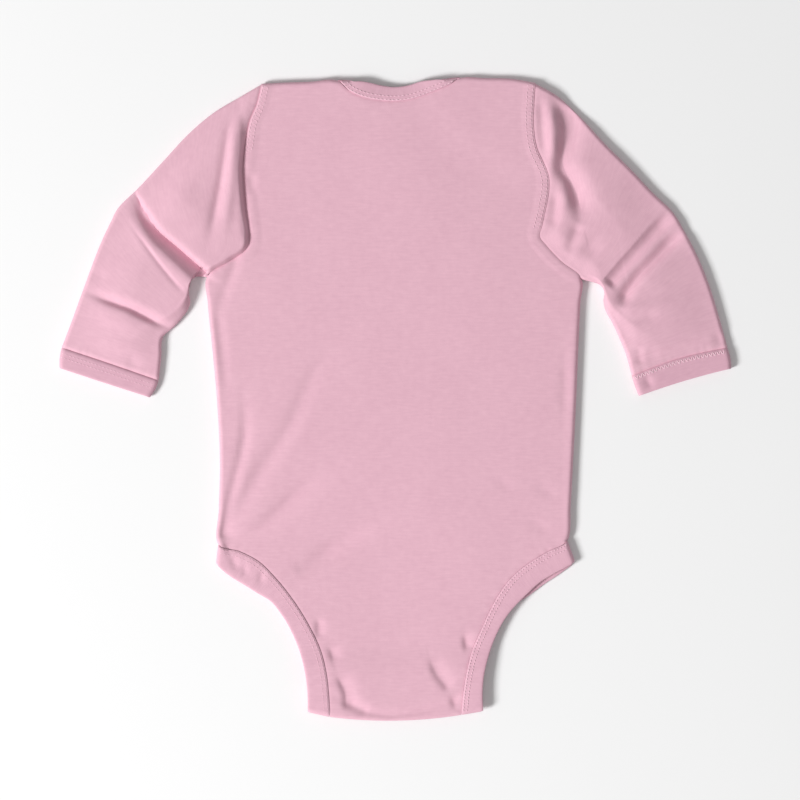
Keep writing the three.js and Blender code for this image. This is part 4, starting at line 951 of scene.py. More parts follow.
@dataclass
class FrontPanel(ClothPiece):
    """The front, flat on the surface under the back."""

    spacing: float = 2.6
    first_row: float = 1.4
    fullness: float = 0.25
    columns: int = 84

    def plan(self, share: Array, row: Array) -> Array:
        """Give plan points from shares across and places down the sides.

        Args:
            share: Shares of the way across.
            row: Places down the sides.

        Returns:
            A point for each pair.
        """
        share, row = np.broadcast_arrays(share, row)
        inset = body_inset(row)
        point = mix(body_side("left", row, inset), body_side("right", row, inset), share)
        neck = FRONT_NECK.beside(share * FRONT_NECK.last, -HALF_GAP)
        ends = FRONT_NECK.at([0, FRONT_NECK.last])
        dip = neck[..., 1] - ends[0, 1] - (ends[1, 1] - ends[0, 1]) * share
        full = np.maximum(np.sin(math.pi * share), 0) ** self.fullness
        point[..., 1] += dip * full * (1 - smooth(row, self.first_row, ARMPIT_ROW))
        return point

    def make(self) -> Piece:
        """Lay out the grid and build it.

        Returns:
            The finished piece.
        """
        marks = (self.first_row, ARMPIT_ROW, HIP_ROW, FRONT_LAST_ROW)
        rows = SIDE["left"].chain(marks, self.spacing, ("", "", ""))
        edge = np.array([0, 0.0008, 0.002, 0.004, 0.007, 0.011, 0.016, 0.022])
        share = np.concatenate([edge, np.linspace(0.034, 0.966, self.columns), 1 - edge[::-1]])
        grid = on_grid(self.plan(share[None, :], rows[:, None]), self.height)
        sides = (rows >= ARMPIT_ROW) & (rows <= HIP_ROW)
        grid[sides, 0, 2] = grid[sides, -1, 2] = EDGE_HEIGHT - HALF_GAP
        return self.build(grid, grid[..., :2])

    def height(self, points: Array) -> Array:
        """Give the height of the panel's middle at plan points."""
        return beside_fold(LAYERS.from_fold(points), EDGE_HEIGHT, LAYERS.front(points))


@dataclass
class PressedTube(ClothPiece):
    """A tube of cloth pressed flat between two folded edges."""

    side: str = "left"

    def press(
        self, plan: Array, upper: Array, lower: float, from_fold: Array, knit: Array,
        thin: Array | None = None,
    ) -> Piece:
        """Build the tube from its flat form.

        Args:
            plan: Plan points of the sections, (sections, places, 2), between the folded edges.
            upper: Height of the upper layer away from the folds.
            lower: Height of the lower layer away from them.
            from_fold: Distance of each point from the nearer fold.
            knit: Place of each point on the cut cloth, shaped as plan.
            thin: Share of the wall at each section.

        Returns:
            The finished piece.
        """
        top, low = (raised(plan, beside_fold(from_fold, EDGE_HEIGHT, z)) for z in (upper, lower))
        grid, cut = (np.hstack([a, b[:, -2:0:-1]]) for a, b in ((top, low), (knit, knit)))
        return self.build(grid, cut, tube=True, thin=thin)


@dataclass
class Sleeve(PressedTube):
    """A set-in sleeve, from the armhole to the cuff seam."""

    spacing: float = 1.15
    puff: float = 3.2
    shoulder: Pair = (4.5, 9.0)
    shoulder_y: Pair = (155.0, 195.0)
    droop: float = 0.6
    droop_y: Pair = (25.0, 75.0)
    dome: Pair = (26.0, 6.0)
    dome_y: Pair = (25.0, 60.0)
    brow: float = 36.0
    wrist: Pair = (0.3, 16.0)

    def lift(self, points: Array, from_outer: Array, from_inner: Array) -> Array:
        """Puff the sleeve up between its armhole, its cuff and its folded edges.

        Args:
            points: Plan points, (n, 2), in millimetres.
            from_outer: Distance of each from the outer folded edge.
            from_inner: Distance of each from the inner one.

        Returns:
            How much the cloth stands up off its layer.
        """
        armhole = nearest(points, SIDE[self.side].run(FOLD_ROW, ARMPIT_ROW, 80))[0]
        cuff = nearest(points, CUFF_SEAM[self.side])[0]
        low, high = self.shoulder
        wide, narrow = self.dome
        y = points[:, 1]
        up = smooth(armhole, 0, low + (high - low) * smooth(y, *self.shoulder_y))
        up = self.puff * up * (1 - self.droop * (1 - smooth(y, *self.droop_y)))
        up = up * smooth(from_inner, 0, wide + (narrow - wide) * smooth(y, *self.dome_y))
        return up * smooth(from_outer, 0, self.brow) * smooth(cuff, *self.wrist)

    def cuff_seam(self, share: Array) -> Array:
        """Give plan points across the cuff seam, just above it.

        Args:
            share: Shares of the way across.

        Returns:
            A point for each share.
        """
        ends = CUFF_SEAM[self.side]
        edge = HALF_CLOTH / np.linalg.norm(ends[2] - ends[0])
        return bowed(ends, share, edge) + (0, HALF_GAP)

    def make(self) -> Piece:
        """Lay out the sections between the folded edges and build the tube.

        Returns:
            The finished piece.
        """
        armhole = SIDE[self.side]
        row = armhole.stops(FOLD_ROW, ARMPIT_ROW, self.spacing, "se")
        fine = np.linspace(FOLD_ROW, ARMPIT_ROW, 1201)
        along = along_of(armhole.at(fine))
        share = np.interp(row, fine, along / along[-1])
        lines = [PlanLine(SLEEVE_ROWS[self.side], column) for column in (0, 2)]
        place = lines[0].stops(0, SLEEVE_LAST, self.spacing)
        part = place / SLEEVE_LAST
        inward = HALF_CLOTH * -OUTWARD[self.side]
        seam_row = np.interp(row, row[[0, -1]], row[[0, -1]] + (CORNER_EASE, -CORNER_EASE))
        first = body_side(self.side, seam_row, -HALF_GAP)
        plan = first + (self.cuff_seam(share) - first) * part[:, None, None]
        for line, sign, weight in zip(lines, (1, -1), (1 - share, share)):
            edge = line.beside(place, sign * inward)
            plan = plan + (edge - mix(edge[0], edge[-1], part))[:, None] * weight[None, :, None]
        outer, inner = (np.linalg.norm(plan - plan[:, k], axis=-1) for k in (np.s_[:1], np.s_[-1:]))
        flat = plan.reshape(-1, 2)
        lift = self.lift(flat, outer.reshape(-1), inner.reshape(-1))
        upper = LAYERS.top(flat, np.full(len(flat), BOTTOM_LAYER), lift).reshape(outer.shape)
        width = np.linalg.norm(plan[:, -1] - plan[:, 0], axis=-1)[:, None]
        knit = pair(width * (share - 0.5), along_of((plan[:, 0] + plan[:, -1]) / 2)[:, None])
        return self.press(plan, upper, BOTTOM_LAYER, np.minimum(outer, inner), knit)


@dataclass
class Cuff(PressedTube):
    """A cuff of cloth folded in two: a short tube below the sleeve."""

    wall: float = BAND_CLOTH
    depth: float = 10.0
    columns: int = 42
    usual_width: float = 65.0
    least_height: float = 2.9
    waviness: float = 0.5

    def make(self) -> Piece:
        """Lay out the sections between the folded edges and build the tube.

        Returns:
            The finished piece.
        """
        lines = [PlanLine(CUFF_ROWS[self.side], column) for column in (0, 2, 4)]
        down = np.array([0, 0.1, 0.25, 0.5, 0.9, 1.6, 2.6, 4.0, 5.4, 6.8, 8.0, 9.0, 9.6, 9.85, 10])
        place = down / (self.depth / lines[0].last)
        outer, middle, inner = (line.at(place)[:, None] for line in lines)
        width = np.linalg.norm(inner - outer, axis=-1)
        near = CLOSE_STOPS / self.usual_width
        across = np.linspace(near[-1], 1 - near[-1], self.columns)[1:-1]
        share = np.concatenate([near, across, 1 - near[::-1]])
        plan = bowed((outer, middle, inner), share, BAND_CLOTH / 2 / width)
        plan[..., 1] -= HALF_GAP * (1 - place / 2)[:, None]
        flat = plan.reshape(-1, 2)
        relief = LAYERS.relief(flat) + self.waviness * LAYERS.waves(flat)
        upper = np.maximum(CUFF_TOP + relief, self.least_height).reshape(plan.shape[:2])
        thin = np.interp(down, [0, 0.5, 1.2, 9.0, 9.7, 10], [0.75, 0.95, 1, 1, 0.86, 0.6])
        knit = pair(width * (share - 0.5), along_of(lines[1].at(place))[:, None])
        from_fold = np.minimum(share, 1 - share) * width
        return self.press(plan, upper, BAND_LAYER, from_fold, knit, thin[:, None])


@dataclass
class Band(ClothPiece):
    """A folded strip sewn over a raw edge, laid out between its seam and its free edge."""

    wall: float = BAND_CLOTH
    rise: float = 0.3
    spacing: float = 1.5
    room: float = 0.3
    room_rows: Pair = (0.2, 1.5)

    def lay(
        self, seam: Array, free: Array, height: Callable[[Array, Array], Array]
    ) -> Piece:
        """Build the strip.

        Args:
            seam: Plan points of the sewn edge, (n, 2).
            free: Plan points of the folded edge, (n, 2).
            height: Function from plan points and station numbers to heights.

        Returns:
            The finished strip.
        """
        share = np.array([0, 0.04, 0.1, 0.2, 0.32, 0.44, 0.56, 0.68, 0.8, 0.88, 0.94, 0.975, 1])
        thin = np.interp(
            share, [0, 0.04, 0.12, 0.86, 0.94, 0.975, 1], [0.7, 0.92, 1, 1, 0.86, 0.68, 0.4]
        )
        plan = seam[:, None] + (free - seam)[:, None] * share[None, :, None]
        station = np.repeat(np.arange(len(seam)), len(share))
        z = height(plan.reshape(-1, 2), station).reshape(plan.shape[:2])
        width = np.linalg.norm(free - seam, axis=-1)[:, None] * share
        knit = pair(along_of((seam + free) / 2)[:, None], width)
        return self.build(raised(plan, z), knit, thin=thin)

    def drop(self, rows_away: Array) -> Array:
        """Pull a band in beside its fold, so that its face stays inside the outline."""
        return BAND_CLOTH / 2 * (1 - smooth(rows_away, 0, self.room_rows[1]))

    def ease(self, rows_away: Array) -> Array:
        """Give room between a band and its panel where both turn over a fold."""
        return self.room * (1 - smooth(rows_away, *self.room_rows))


@dataclass
class NeckBandBack(Band):
    """The binding round the back neck and on down the edges of both shoulder flaps."""

    roll: float = 0.16
    fold_inset: float = 1.4
    slip: float = 1.2

    def fold_ends(self, side: str) -> Array:
        """Give the seam and free points of the band where it turns under at a neck fold.

        Args:
            side: Which fold.

        Returns:
            The seam point and the free point.
        """
        column = NECK_FIRST if side == "left" else NECK_LAST
        seam = TOP.at(column) + (-OUTWARD[side] * (HALF_GAP + self.fold_inset), -BAND_CLOTH / 2)
        return np.array([seam, NECK_FREE.at(column - NECK_FIRST) - (0, BAND_CLOTH / 2)])

    def flap_edge(self, side: str) -> tuple[Array, Array]:
        """Give the stations of the band along a flap, from the armhole to the neck fold.

        Args:
            side: Which flap.

        Returns:
            Seam points and free points.
        """
        seam_line, free_line = PlanLine(FLAP_ROWS[side]), PlanLine(FLAP_ROWS[side], 2)
        place = seam_line.stops(0, seam_line.last, self.spacing, "e")[:-1]
        away = HALF_GAP + self.ease(seam_line.last - place)
        seam = seam_line.beside(place, OUTWARD[side] * away)
        seam[0, 0] = body_side(side, FLAP_ROW, 0)[0] - OUTWARD[side] * SEAM_GAP
        lower = pair(0.0, self.drop(seam_line.last - place))
        return seam - lower, free_line.at(place) - lower

    def make(self) -> Piece:
        """Run the band from flap edge to flap edge over the neck and build it.

        Returns:
            The finished piece.
        """
        column = TOP.stops(NECK_FIRST, NECK_LAST, self.spacing, "se")
        away = np.minimum(column - NECK_FIRST, NECK_LAST - column)
        seam = TOP.beside(column, HALF_GAP + self.ease(away))
        slip = np.where(column < (NECK_FIRST + NECK_LAST) / 2, self.slip, -self.slip)
        shift = pair(slip, -1.0) * self.drop(away)[:, None]
        seam, free = seam + shift, NECK_FREE.at(column - NECK_FIRST) + shift
        folds = {side: self.fold_ends(side) for side in SIDE}
        seam[0], free[0] = folds["left"]
        seam[-1], free[-1] = folds["right"]
        left, right = self.flap_edge("left"), self.flap_edge("right")
        first, last = len(left[0]), len(left[0]) + len(seam)
        seam_line = TOP.run(NECK_FIRST, NECK_LAST, 60)

        def height(points: Array, station: Array) -> Array:
            """Give the band's height over the neck and under both flaps.

            Args:
                points: Plan points, (n, 2), in millimetres.
                station: Number of each point's station.

            Returns:
                Height at each point.
            """
            away = np.minimum(*(nearest(points, fold)[0] for fold in folds.values()))
            from_seam = nearest(points, seam_line)[0]
            over = LAYERS.top(
                points, LAYERS.front(points) + BAND_CLOTH - CLOTH, -self.roll * from_seam
            )
            over = beside_fold(away, EDGE_HEIGHT, over + self.rise)
            under = beside_fold(away, EDGE_HEIGHT, BAND_LAYER)
            z = np.where((station >= first) & (station < last), over, under)
            return np.where((station == first) | (station == last - 1), EDGE_HEIGHT, z)

        parts = zip(left, (seam, free), right)
        seam, free = (np.vstack([start, over, end[::-1]]) for start, over, end in parts)
        return self.lay(seam, free, height)


@dataclass
class NeckBandFront(Band):
    """The binding of the front neckline, under the back."""

    width: float = 9.0
    corner_row: float = 0.75
    corner_share: float = 0.06

    def make(self, panel: FrontPanel) -> Piece:
        """Run the band along the top edge of the front panel and build it.

        Args:
            panel: The front panel.

        Returns:
            The finished piece.
        """
        share = np.concatenate([[0, 0.004, 0.012, 0.024], np.linspace(0.04, 0.96, 110),
                                [0.976, 0.988, 0.996, 1]])
        seam = panel.plan(share, np.array(panel.first_row)) + (0, SEAM_GAP)
        free = FRONT_NECK.beside(share * FRONT_NECK.last, self.width)
        for side, end, away in (("left", 0, share), ("right", -1, 1 - share)):
            corner = body_side(side, self.corner_row, SEAM_GAP)
            free = mix(corner, free, smooth(away, 0, self.corner_share))
            seam[end, 0] -= OUTWARD[side] * HALF_GAP
        return self.lay(
            seam, free, lambda points, _: np.maximum(LAYERS.front(points), BAND_LAYER)
        )


@dataclass
class LegBand(Band):
    """The binding all round a leg opening: tail, crotch fold, back, hip fold and front."""

    side: str = "left"
    peek: float = 0.0
    peek_rows: float = 3.7
    waviness: float = 0.6
    least_relief: float = -1.2
    sink_rows: float = 2.0
    fade_rows: float = 0.25

    def station(self, row: Array) -> tuple[Array, Array]:
        """Give the seam and free points of the band at places down the leg.

        Args:
            row: Places down the leg.

        Returns:
            Seam points and free points.
        """
        room = 2 - smooth(row, HIP_ROW, HIP_ROW + 1)
        lift = pair(0.0, self.drop(CROTCH_ROW - row))
        sink = pair(0.0, HALF_CLOTH * smooth(row, CROTCH_ROW - self.sink_rows, CROTCH_ROW))
        seam = body_side(self.side, row, -LEG_GAP * room) + lift - sink
        return seam, LEG_EDGE[self.side].at(row - HIP_ROW) + lift

    def make(self) -> Piece:
        """Run the band round the opening and build it.

        Returns:
            The finished piece.
        """
        line = SIDE[self.side]
        back = line.stops(HIP_ROW, CROTCH_FOLD_ROW, self.spacing, "se")
        tail = line.stops(TAIL_ROW, CROTCH_FOLD_ROW, self.spacing, "e")[:-1]
        front = line.stops(HIP_ROW, FRONT_LAST_ROW, self.spacing, "s")[1:]
        row = np.concatenate([tail, back[::-1], front])
        seam, free = self.station(row)
        crotch, hip = len(tail), len(tail) + len(back) - 1
        way = free[hip + 1:] - seam[hip + 1:]
        way = way / np.linalg.norm(way, axis=1, keepdims=True)
        out = arch(np.clip((front - HIP_ROW) / self.peek_rows, 0, 1))
        free[hip + 1:] += way * self.peek * out[:, None]
        inward = np.array([-OUTWARD[self.side] * BAND_CLOTH / 2, 0])
        fade = (1 - smooth(row, HIP_ROW, HIP_ROW + self.fade_rows))[:, None]
        seam, free = seam + inward * fade, free + inward * fade
        folds = [np.array([seam[k], free[k]]) for k in (crotch, hip)]

        def height(points: Array, station: Array) -> Array:
            """Give the band's height on the tail, over the back and under the front.

            Args:
                points: Plan points, (n, 2), in millimetres.
                station: Number of each point's station.

            Returns:
                Height at each point.
            """
            from_crotch, from_hip = (nearest(points, fold)[0] for fold in folds)
            relief = LAYERS.relief(points) + LAYERS.waves(points) * self.waviness
            y = points[:, 1]
            over = LAYERS.flat(3, y) + self.rise + np.maximum(relief, self.least_relief)
            over = beside_fold(from_crotch, CROTCH_MIDDLE, over)
            over = beside_fold(from_hip, EDGE_HEIGHT, over)
            under = beside_fold(from_hip, EDGE_HEIGHT, np.maximum(LAYERS.flat(1, y), BAND_LAYER))
            below = beside_fold(from_crotch, CROTCH_MIDDLE, LAYERS.flat(2, y))
            z = np.where(station < crotch, below, np.where(station > hip, under, over))
            return np.where(station == hip, EDGE_HEIGHT, z)

        return self.lay(seam, free, height)


class Probe:
    """Finds the outer face of finished cloth over or under plan points."""

    start: float = 0.05

    def __init__(self, pieces: Sequence[Piece]) -> None:
        """Gather the faces of the pieces.

        Args:
            pieces: The pieces of cloth.
        """
        parts = []
        for piece in pieces:
            place = np.empty(len(piece.data.vertices) * 3, np.float32)
            piece.data.vertices.foreach_get("co", place)
            parts.append((place.reshape(-1, 3), [face.vertices for face in piece.data.polygons]))
        points, faces = joined(parts)
        self.tree = BVHTree.FromPolygons(points.tolist(), faces)

    def heights(self, points: Array, from_below: bool = False) -> Array:
        """Give the height of the outer face at plan points, in millimetres.

        Args:
            points: Plan points, (n, 2), in millimetres.
            from_below: Whether to look from under the cloth.

        Returns:
            Height at each point, or nan where there is no cloth.
        """
        out = np.full(len(points), np.nan)
        way = 1 if from_below else -1
        for k, (x, y) in enumerate(points * MM):
            hit = self.tree.ray_cast(Vector((x, y, -way * self.start)), Vector((0, 0, way)))[0]
            if hit is not None:
                out[k] = hit.z / MM
        return out


# Rings of a thread: share of its length, width and depth of each
THREAD_RINGS = ((0, 0.35, 0.9), (0.22, 1, 0), (0.78, 1, 0), (1, 0.35, 0.9))
RING_CORNERS = 6
THREAD_POINTS = RING_CORNERS * len(THREAD_RINGS)


@dataclass
class StitchRow:
    """A row of thread along a line in plan."""

    line: Array
    kind: Stitch = Stitch.RUN
    pitch: float = 2.5
    length: float = 1.75
    thick: float = 0.24
    spread: float = 3.0
    from_below: bool = False
    stray: float = 0.12
    slant: float = 0.25
    above: float = 0.55
    steepest: float = 1.2

    def ends(self) -> tuple[Array, Array]:
        """Give the plan points where each visible thread starts and ends.

        Returns:
            First and last point of each thread.
        """
        along = along_of(self.line)
        count = max(int(along[-1] / self.pitch), 1)
        rng = np.random.default_rng(SEED + count)
        start = np.arange(count) * self.pitch + rng.uniform(-self.stray, self.stray, count)

        def at(distance: Array, aside: Array | float) -> Array:
            """Give points along the line, moved to its left.

            Args:
                distance: Distances along the line.
                aside: How far to its left.

            Returns:
                A point for each distance.
            """
            here, ahead = (
                pair(*(np.interp(distance + more, along, axis) for axis in self.line.T))
                for more in (0, 0.3)
            )
            way = (ahead - here) / np.maximum(np.linalg.norm(ahead - here, axis=-1), TINY)[:, None]
            return here + pair(-way[:, 1], way[:, 0]) * np.broadcast_to(aside, len(here))[:, None]

        if self.kind is Stitch.RUN:
            return at(start, 0.0), at(start + self.length, 0.0)
        if self.kind is Stitch.BARS:
            return at(start, -self.spread / 2), at(start + self.slant, self.spread / 2)
        turn = np.where(np.arange(count) % 2, 1, -1) * self.spread / 2
        return at(start, turn), at(start + self.pitch, -turn)

    def make(self, probe: Probe) -> tuple[Array, list]:
        """Lay the threads on the cloth.

        Args:
            probe: Finds the face of the cloth.

        Returns:
            Points and faces of all the threads.
        """
        a, b = self.ends()
        za, zb = (probe.heights(p, self.from_below) for p in (a, b))
        good = ~(np.isnan(za) | np.isnan(zb)) & (np.abs(za - zb) < self.steepest)
        lift = self.thick * self.above * (-1 if self.from_below else 1)
        start, end = (np.column_stack([p, z + lift])[good] for p, z in ((a, za), (b, zb)))
        way = end - start
        way = way / np.maximum(np.linalg.norm(way, axis=1, keepdims=True), TINY)
        aside = np.cross(way, (0, 0, 1))
        aside /= np.maximum(np.linalg.norm(aside, axis=1, keepdims=True), TINY)
        above = np.cross(aside, way)
        turns = 2 * math.pi / RING_CORNERS * np.arange(RING_CORNERS)
        rings = []
        for share, wide, sink in THREAD_RINGS:
            centre = start + (end - start) * share - above * self.thick * sink
            for turn in turns:
                offset = aside * math.cos(turn) + above * math.sin(turn)
                rings.append(centre + offset * self.thick * wide)
        ring = list(range(RING_CORNERS))
        last = THREAD_POINTS - RING_CORNERS
        faces = [ring[::-1], [last + k for k in ring]]
        for first in range(0, last, RING_CORNERS):
            after = first + RING_CORNERS
            for k, n in zip(ring, ring[1:] + ring[:1]):
                faces.append([first + k, first + n, after + n, after + k])
        return joined((thread, faces) for thread in np.stack(rings, axis=1))


@dataclass
class StitchGroup:
    """All the thread of one seam, as one piece with its own mesh."""

    name: str
    rows: tuple[StitchRow, ...]

    def make(self, probe: Probe, finish: Material) -> Piece:
        """Lay every row on the cloth and dress the thread.

        Args:
            probe: Finds the face of the cloth.
            finish: Material of the thread.

        Returns:
            The finished piece.
        """
        points, faces = joined(row.make(probe) for row in self.rows)
        piece = mesh_object(self.name, points, faces)
        only(piece)
        bpy.ops.object.shade_smooth_by_angle(angle=THREAD_ANGLE)
        piece.data.materials.append(finish)
        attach(piece, "root")
        LOG.info("%s: %d threads", self.name, len(points) // THREAD_POINTS)
        return piece


class Sock:
    """A number on its way through a shader, with the usual operators."""

    def __init__(self, shader: "Shader", socket: bpy.types.NodeSocket) -> None:
        """Wrap an output socket."""
        self.shader, self.socket = shader, socket

    def math(self, operation: str, *others: "Sock | float") -> "Sock":
        """Add a Math node that takes this number first."""
        values = dict(enumerate((self, *others)))
        return self.shader.node("ShaderNodeMath", {"operation": operation}, values)

    def __add__(self, other: "Sock | float") -> "Sock":
        """Add."""
        return self.math("ADD", other)

    __radd__ = __add__

    def __sub__(self, other: "Sock | float") -> "Sock":
        """Subtract."""
        return self.math("SUBTRACT", other)

    def __mul__(self, other: "Sock | float") -> "Sock":
        """Multiply."""
        return self.math("MULTIPLY", other)

    __rmul__ = __mul__

    def __abs__(self) -> "Sock":
        """Drop the sign."""
        return self.math("ABSOLUTE")

    def sine(self) -> "Sock":
        """Take the sine."""
        return self.math("SINE")


class Shader:
    """Builds the nodes of one material."""

    def __init__(self, name: str) -> None:
        """Start an empty material.

        Args:
            name: Name of the material.
        """
        self.material = bpy.data.materials.new(name)
        self.material.use_nodes = True
        self.material.node_tree.nodes.clear()

    def node(
        self, kind: str, settings: dict | None = None, values: dict | None = None,
        out: str | int = 0,
    ) -> Sock:
        """Add a node.

        Args:
            kind: Type of the node.
            settings: Properties, set first.
            values: Values or links of its sockets, by name or number.
            out: Output that is handed on.

        Returns:
            The node's output.
        """
        made = self.material.node_tree.nodes.new(kind)
        for key, value in (settings or {}).items():
            setattr(made, key, value)
        for key, value in (values or {}).items():
            if isinstance(value, Sock):
                self.material.node_tree.links.new(value.socket, made.inputs[key])
            else:
                made.inputs[key].default_value = value
        return Sock(self, made.outputs[out]) if made.outputs else Sock(self, made.inputs[0])

    def place(self) -> Sock:
        """Give Object coordinates."""
        return self.node("ShaderNodeTexCoord", None, None, "Object")

    def axis(self, place: Sock, letter: str) -> Sock:
        """Give one coordinate of a place."""
        return self.node("ShaderNodeSeparateXYZ", None, {"Vector": place}, letter)

    def mix(self, share: Sock, low: Sequence[float], high: Sequence[float]) -> Sock:
        """Blend two plain colours."""
        colours = {0: share, 6: (*low, 1), 7: (*high, 1)}
        return self.node("ShaderNodeMix", {"data_type": "RGBA"}, colours, 2)

    def bump(self, height: Sock, strength: float, distance: float) -> Sock:
        """Give the normal of a height pattern, over a distance in millimetres."""
        values = {"Height": height, "Strength": strength, "Distance": distance * MM}
        return self.node("ShaderNodeBump", None, values)

    def noise(self, place: Sock, scale: float, detail: float = 3.0, rough: float = 0.55) -> Sock:
        """Give smooth noise around 0.5.

        Args:
            place: Places that the noise reads.
            scale: Scale of the noise.
            detail: Octaves.
            rough: Weight of the finer octaves.

        Returns:
            The noise.
        """
        return self.node(
            "ShaderNodeTexNoise", None,
            {"Vector": place, "Scale": scale, "Detail": detail, "Roughness": rough}, "Fac",
        )

    def stretch(self, place: Sock, scale: Triple) -> Sock:
        """Scale the places that a pattern reads."""
        return self.node("ShaderNodeMapping", None, {"Vector": place, "Scale": scale})

    def finish(self, surface: dict) -> Material:
        """End the material in a Principled surface with the given values.

        Args:
            surface: Values or links of the surface, by socket.

        Returns:
            The finished material.
        """
        body = self.node("ShaderNodeBsdfPrincipled", None, surface)
        self.node("ShaderNodeOutputMaterial", None, {"Surface": body})
        return self.material


@dataclass(frozen=True)
class KnitFinish:
    """Matt cotton knit: rows of loops, faint streaks across and a little fuzz."""

    name: str
    light: Triple
    dark: Triple
    wale: float = 0.74
    course: float = 0.62
    along_first: bool = False
    bump: float = 0.1

    def make(self) -> Material:
        """Build the material, which reads the place on the cut cloth in millimetres.

        Returns:
            The finished material.
        """
        shader = Shader(self.name)
        place = shader.node("ShaderNodeUVMap", {"uv_map": "knit"})
        cloth = shader.place()
        u, v = (shader.axis(place, letter) for letter in ("YX" if self.along_first else "XY"))
        wobble = shader.noise(shader.stretch(place, (0.06, 0.05, 0)), 1.0, 2.0)
        wale = abs((u * (math.pi / self.wale) + wobble * 2.2).sine())
        course = (v * (2 * math.pi / self.course) + wale * 1.3 + wobble * 2.0).sine()
        wide = (0.35, 0.05, 0) if self.along_first else (0.05, 0.35, 0)
        streak = shader.noise(shader.stretch(place, wide), 2.2, 3.0, 0.62)
        blotch = shader.noise(cloth, 26.0, 3.0)
        mottle = shader.noise(cloth, 240.0, 2.0)
        fuzz = shader.noise(cloth, 1500.0, 2.0, 0.7)
        share = streak * 1.2 + blotch * 0.4 + mottle * 0.7 + wale * 0.05 - 0.68
        share = share + (fuzz - 0.5) * 0.2
        height = wale * 0.3 + course * 0.12 + fuzz * 0.9 + streak * 0.6
        return shader.finish({
            "Base Color": shader.mix(share, self.dark, self.light),
            "Roughness": 0.86 + 0.1 * fuzz, "Normal": shader.bump(height, 0.55, self.bump),
            "Specular IOR Level": 0.22, "Sheen Weight": 0.12, "Sheen Roughness": 0.5,
            "Sheen Tint": (1.0, 0.9, 0.93, 1),
        })


@dataclass(frozen=True)
class ThreadFinish:
    """Spun sewing thread: fine twist along a slightly glossy strand."""

    name: str = "pink_thread"
    light: Triple = (0.93, 0.67, 0.75)
    dark: Triple = (0.80, 0.52, 0.60)
    pitch: float = 0.35

    def make(self) -> Material:
        """Build the material.

        Returns:
            The finished material.
        """
        shader = Shader(self.name)
        place = shader.place()
        across = shader.axis(place, "X") + shader.axis(place, "Y")
        twist = (across * (2 * math.pi / (self.pitch * MM))).sine()
        change = shader.noise(place, 300.0, 2.0)
        return shader.finish({
            "Base Color": shader.mix(change + twist * 0.15, self.dark, self.light),
            "Roughness": 0.6 + change * 0.15, "Normal": shader.bump(twist, 0.4, 0.04),
            "Specular IOR Level": 0.35,
        })


@dataclass(frozen=True)
class SnapFinish:
    """Enamelled metal cap with faint rubbing."""

    name: str = "pink_enamel"
    light: Triple = (0.79, 0.48, 0.57)
    dark: Triple = (0.68, 0.40, 0.49)

    def make(self) -> Material:
        """Build the material.

        Returns:
            The finished material.
        """
        shader = Shader(self.name)
        wear = shader.noise(shader.place(), 420.0, 4.0)
        return shader.finish({
            "Base Color": shader.mix(wear, self.dark, self.light),
            "Roughness": 0.24 + wear * 0.2, "Normal": shader.bump(wear, 0.15, 0.03),
            "Coat Weight": 0.4, "Coat Roughness": 0.12,
        })


@dataclass(frozen=True)
class FloorFinish:
    """Plain pale table top with a barely uneven tone."""

    name: str = "pale_table"
    tone: float = 0.9
    change: float = 0.01

    def make(self) -> Material:
        """Build the material.

        Returns:
            The finished material.
        """
        shader = Shader(self.name)
        change = shader.noise(shader.place(), 6.0, 2.0)
        colour = shader.mix(change, (self.tone - self.change,) * 3, (self.tone,) * 3)
        return shader.finish({"Base Color": colour, "Roughness": 0.9, "Specular IOR Level": 0.1})


@dataclass
class Snaps:
    """The three fastened snaps of the crotch, low dished caps under the front flap."""

    radius: float = 4.75
    height: float = 1.0
    ring: float = 1.35
    dish: float = 0.42
    round: float = 0.22
    centre: Pair = (0.3, -186.0)
    spacing: float = 28.0
    sides: int = 48
    facing: float = 0.9
    numbers: tuple[int, ...] = (1, 2, 3)

    def make(self, finish: Material) -> list[Piece]:
        """Model one cap and copy it to its places.

        Args:
            finish: Material of the caps.

        Returns:
            The three caps.
        """
        nothing_selected()
        bpy.ops.mesh.primitive_cylinder_add(
            vertices=self.sides, radius=self.radius * MM, depth=self.height * MM,
            location=(0, 0, self.height / 2 * MM),
        )
        first = bpy.context.object
        bpy.ops.object.transform_apply(location=True, rotation=True, scale=True)
        bpy.ops.object.mode_set(mode="EDIT")
        bpy.ops.mesh.select_all(action="DESELECT")
        bpy.ops.object.mode_set(mode="OBJECT")
        for face in first.data.polygons:
            face.select = face.normal.z < -self.facing
        bpy.ops.object.mode_set(mode="EDIT")
        bpy.ops.mesh.select_mode(type="FACE")
        bpy.ops.mesh.inset(thickness=self.ring * MM)
        bpy.ops.transform.translate(value=(0, 0, self.dish * MM))
        bpy.ops.mesh.inset(thickness=self.ring * 0.5 * MM)
        bpy.ops.mesh.inset(thickness=self.ring * 0.6 * MM)
        bpy.ops.transform.translate(value=(0, 0, -self.dish * 0.45 * MM))
        bpy.ops.object.mode_set(mode="OBJECT")
        bevel = first.modifiers.new("round", "BEVEL")
        bevel.width, bevel.segments, bevel.limit_method = self.round * MM, 3, "ANGLE"
        bpy.ops.object.modifier_apply(modifier=bevel.name)
        bpy.ops.object.shade_smooth_by_angle(angle=SNAP_ANGLE)
        first.data.materials.append(finish)
        caps = []
        for number in self.numbers:
            cap = first.copy()
            cap.data = first.data.copy()
            cap.name = cap.data.name = f"snap_{number}_cap"
            bpy.context.scene.collection.objects.link(cap)
            x = self.centre[0] + (number - 2) * self.spacing
            for point in cap.data.vertices:
                point.co.x += x * MM
                point.co.y += self.centre[1] * MM
            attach(cap, "root")
            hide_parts(f"snap_{number}")
            LOG.info("%s: cap", cap.name)
            caps.append(cap)
        bpy.data.objects.remove(first)
        return caps


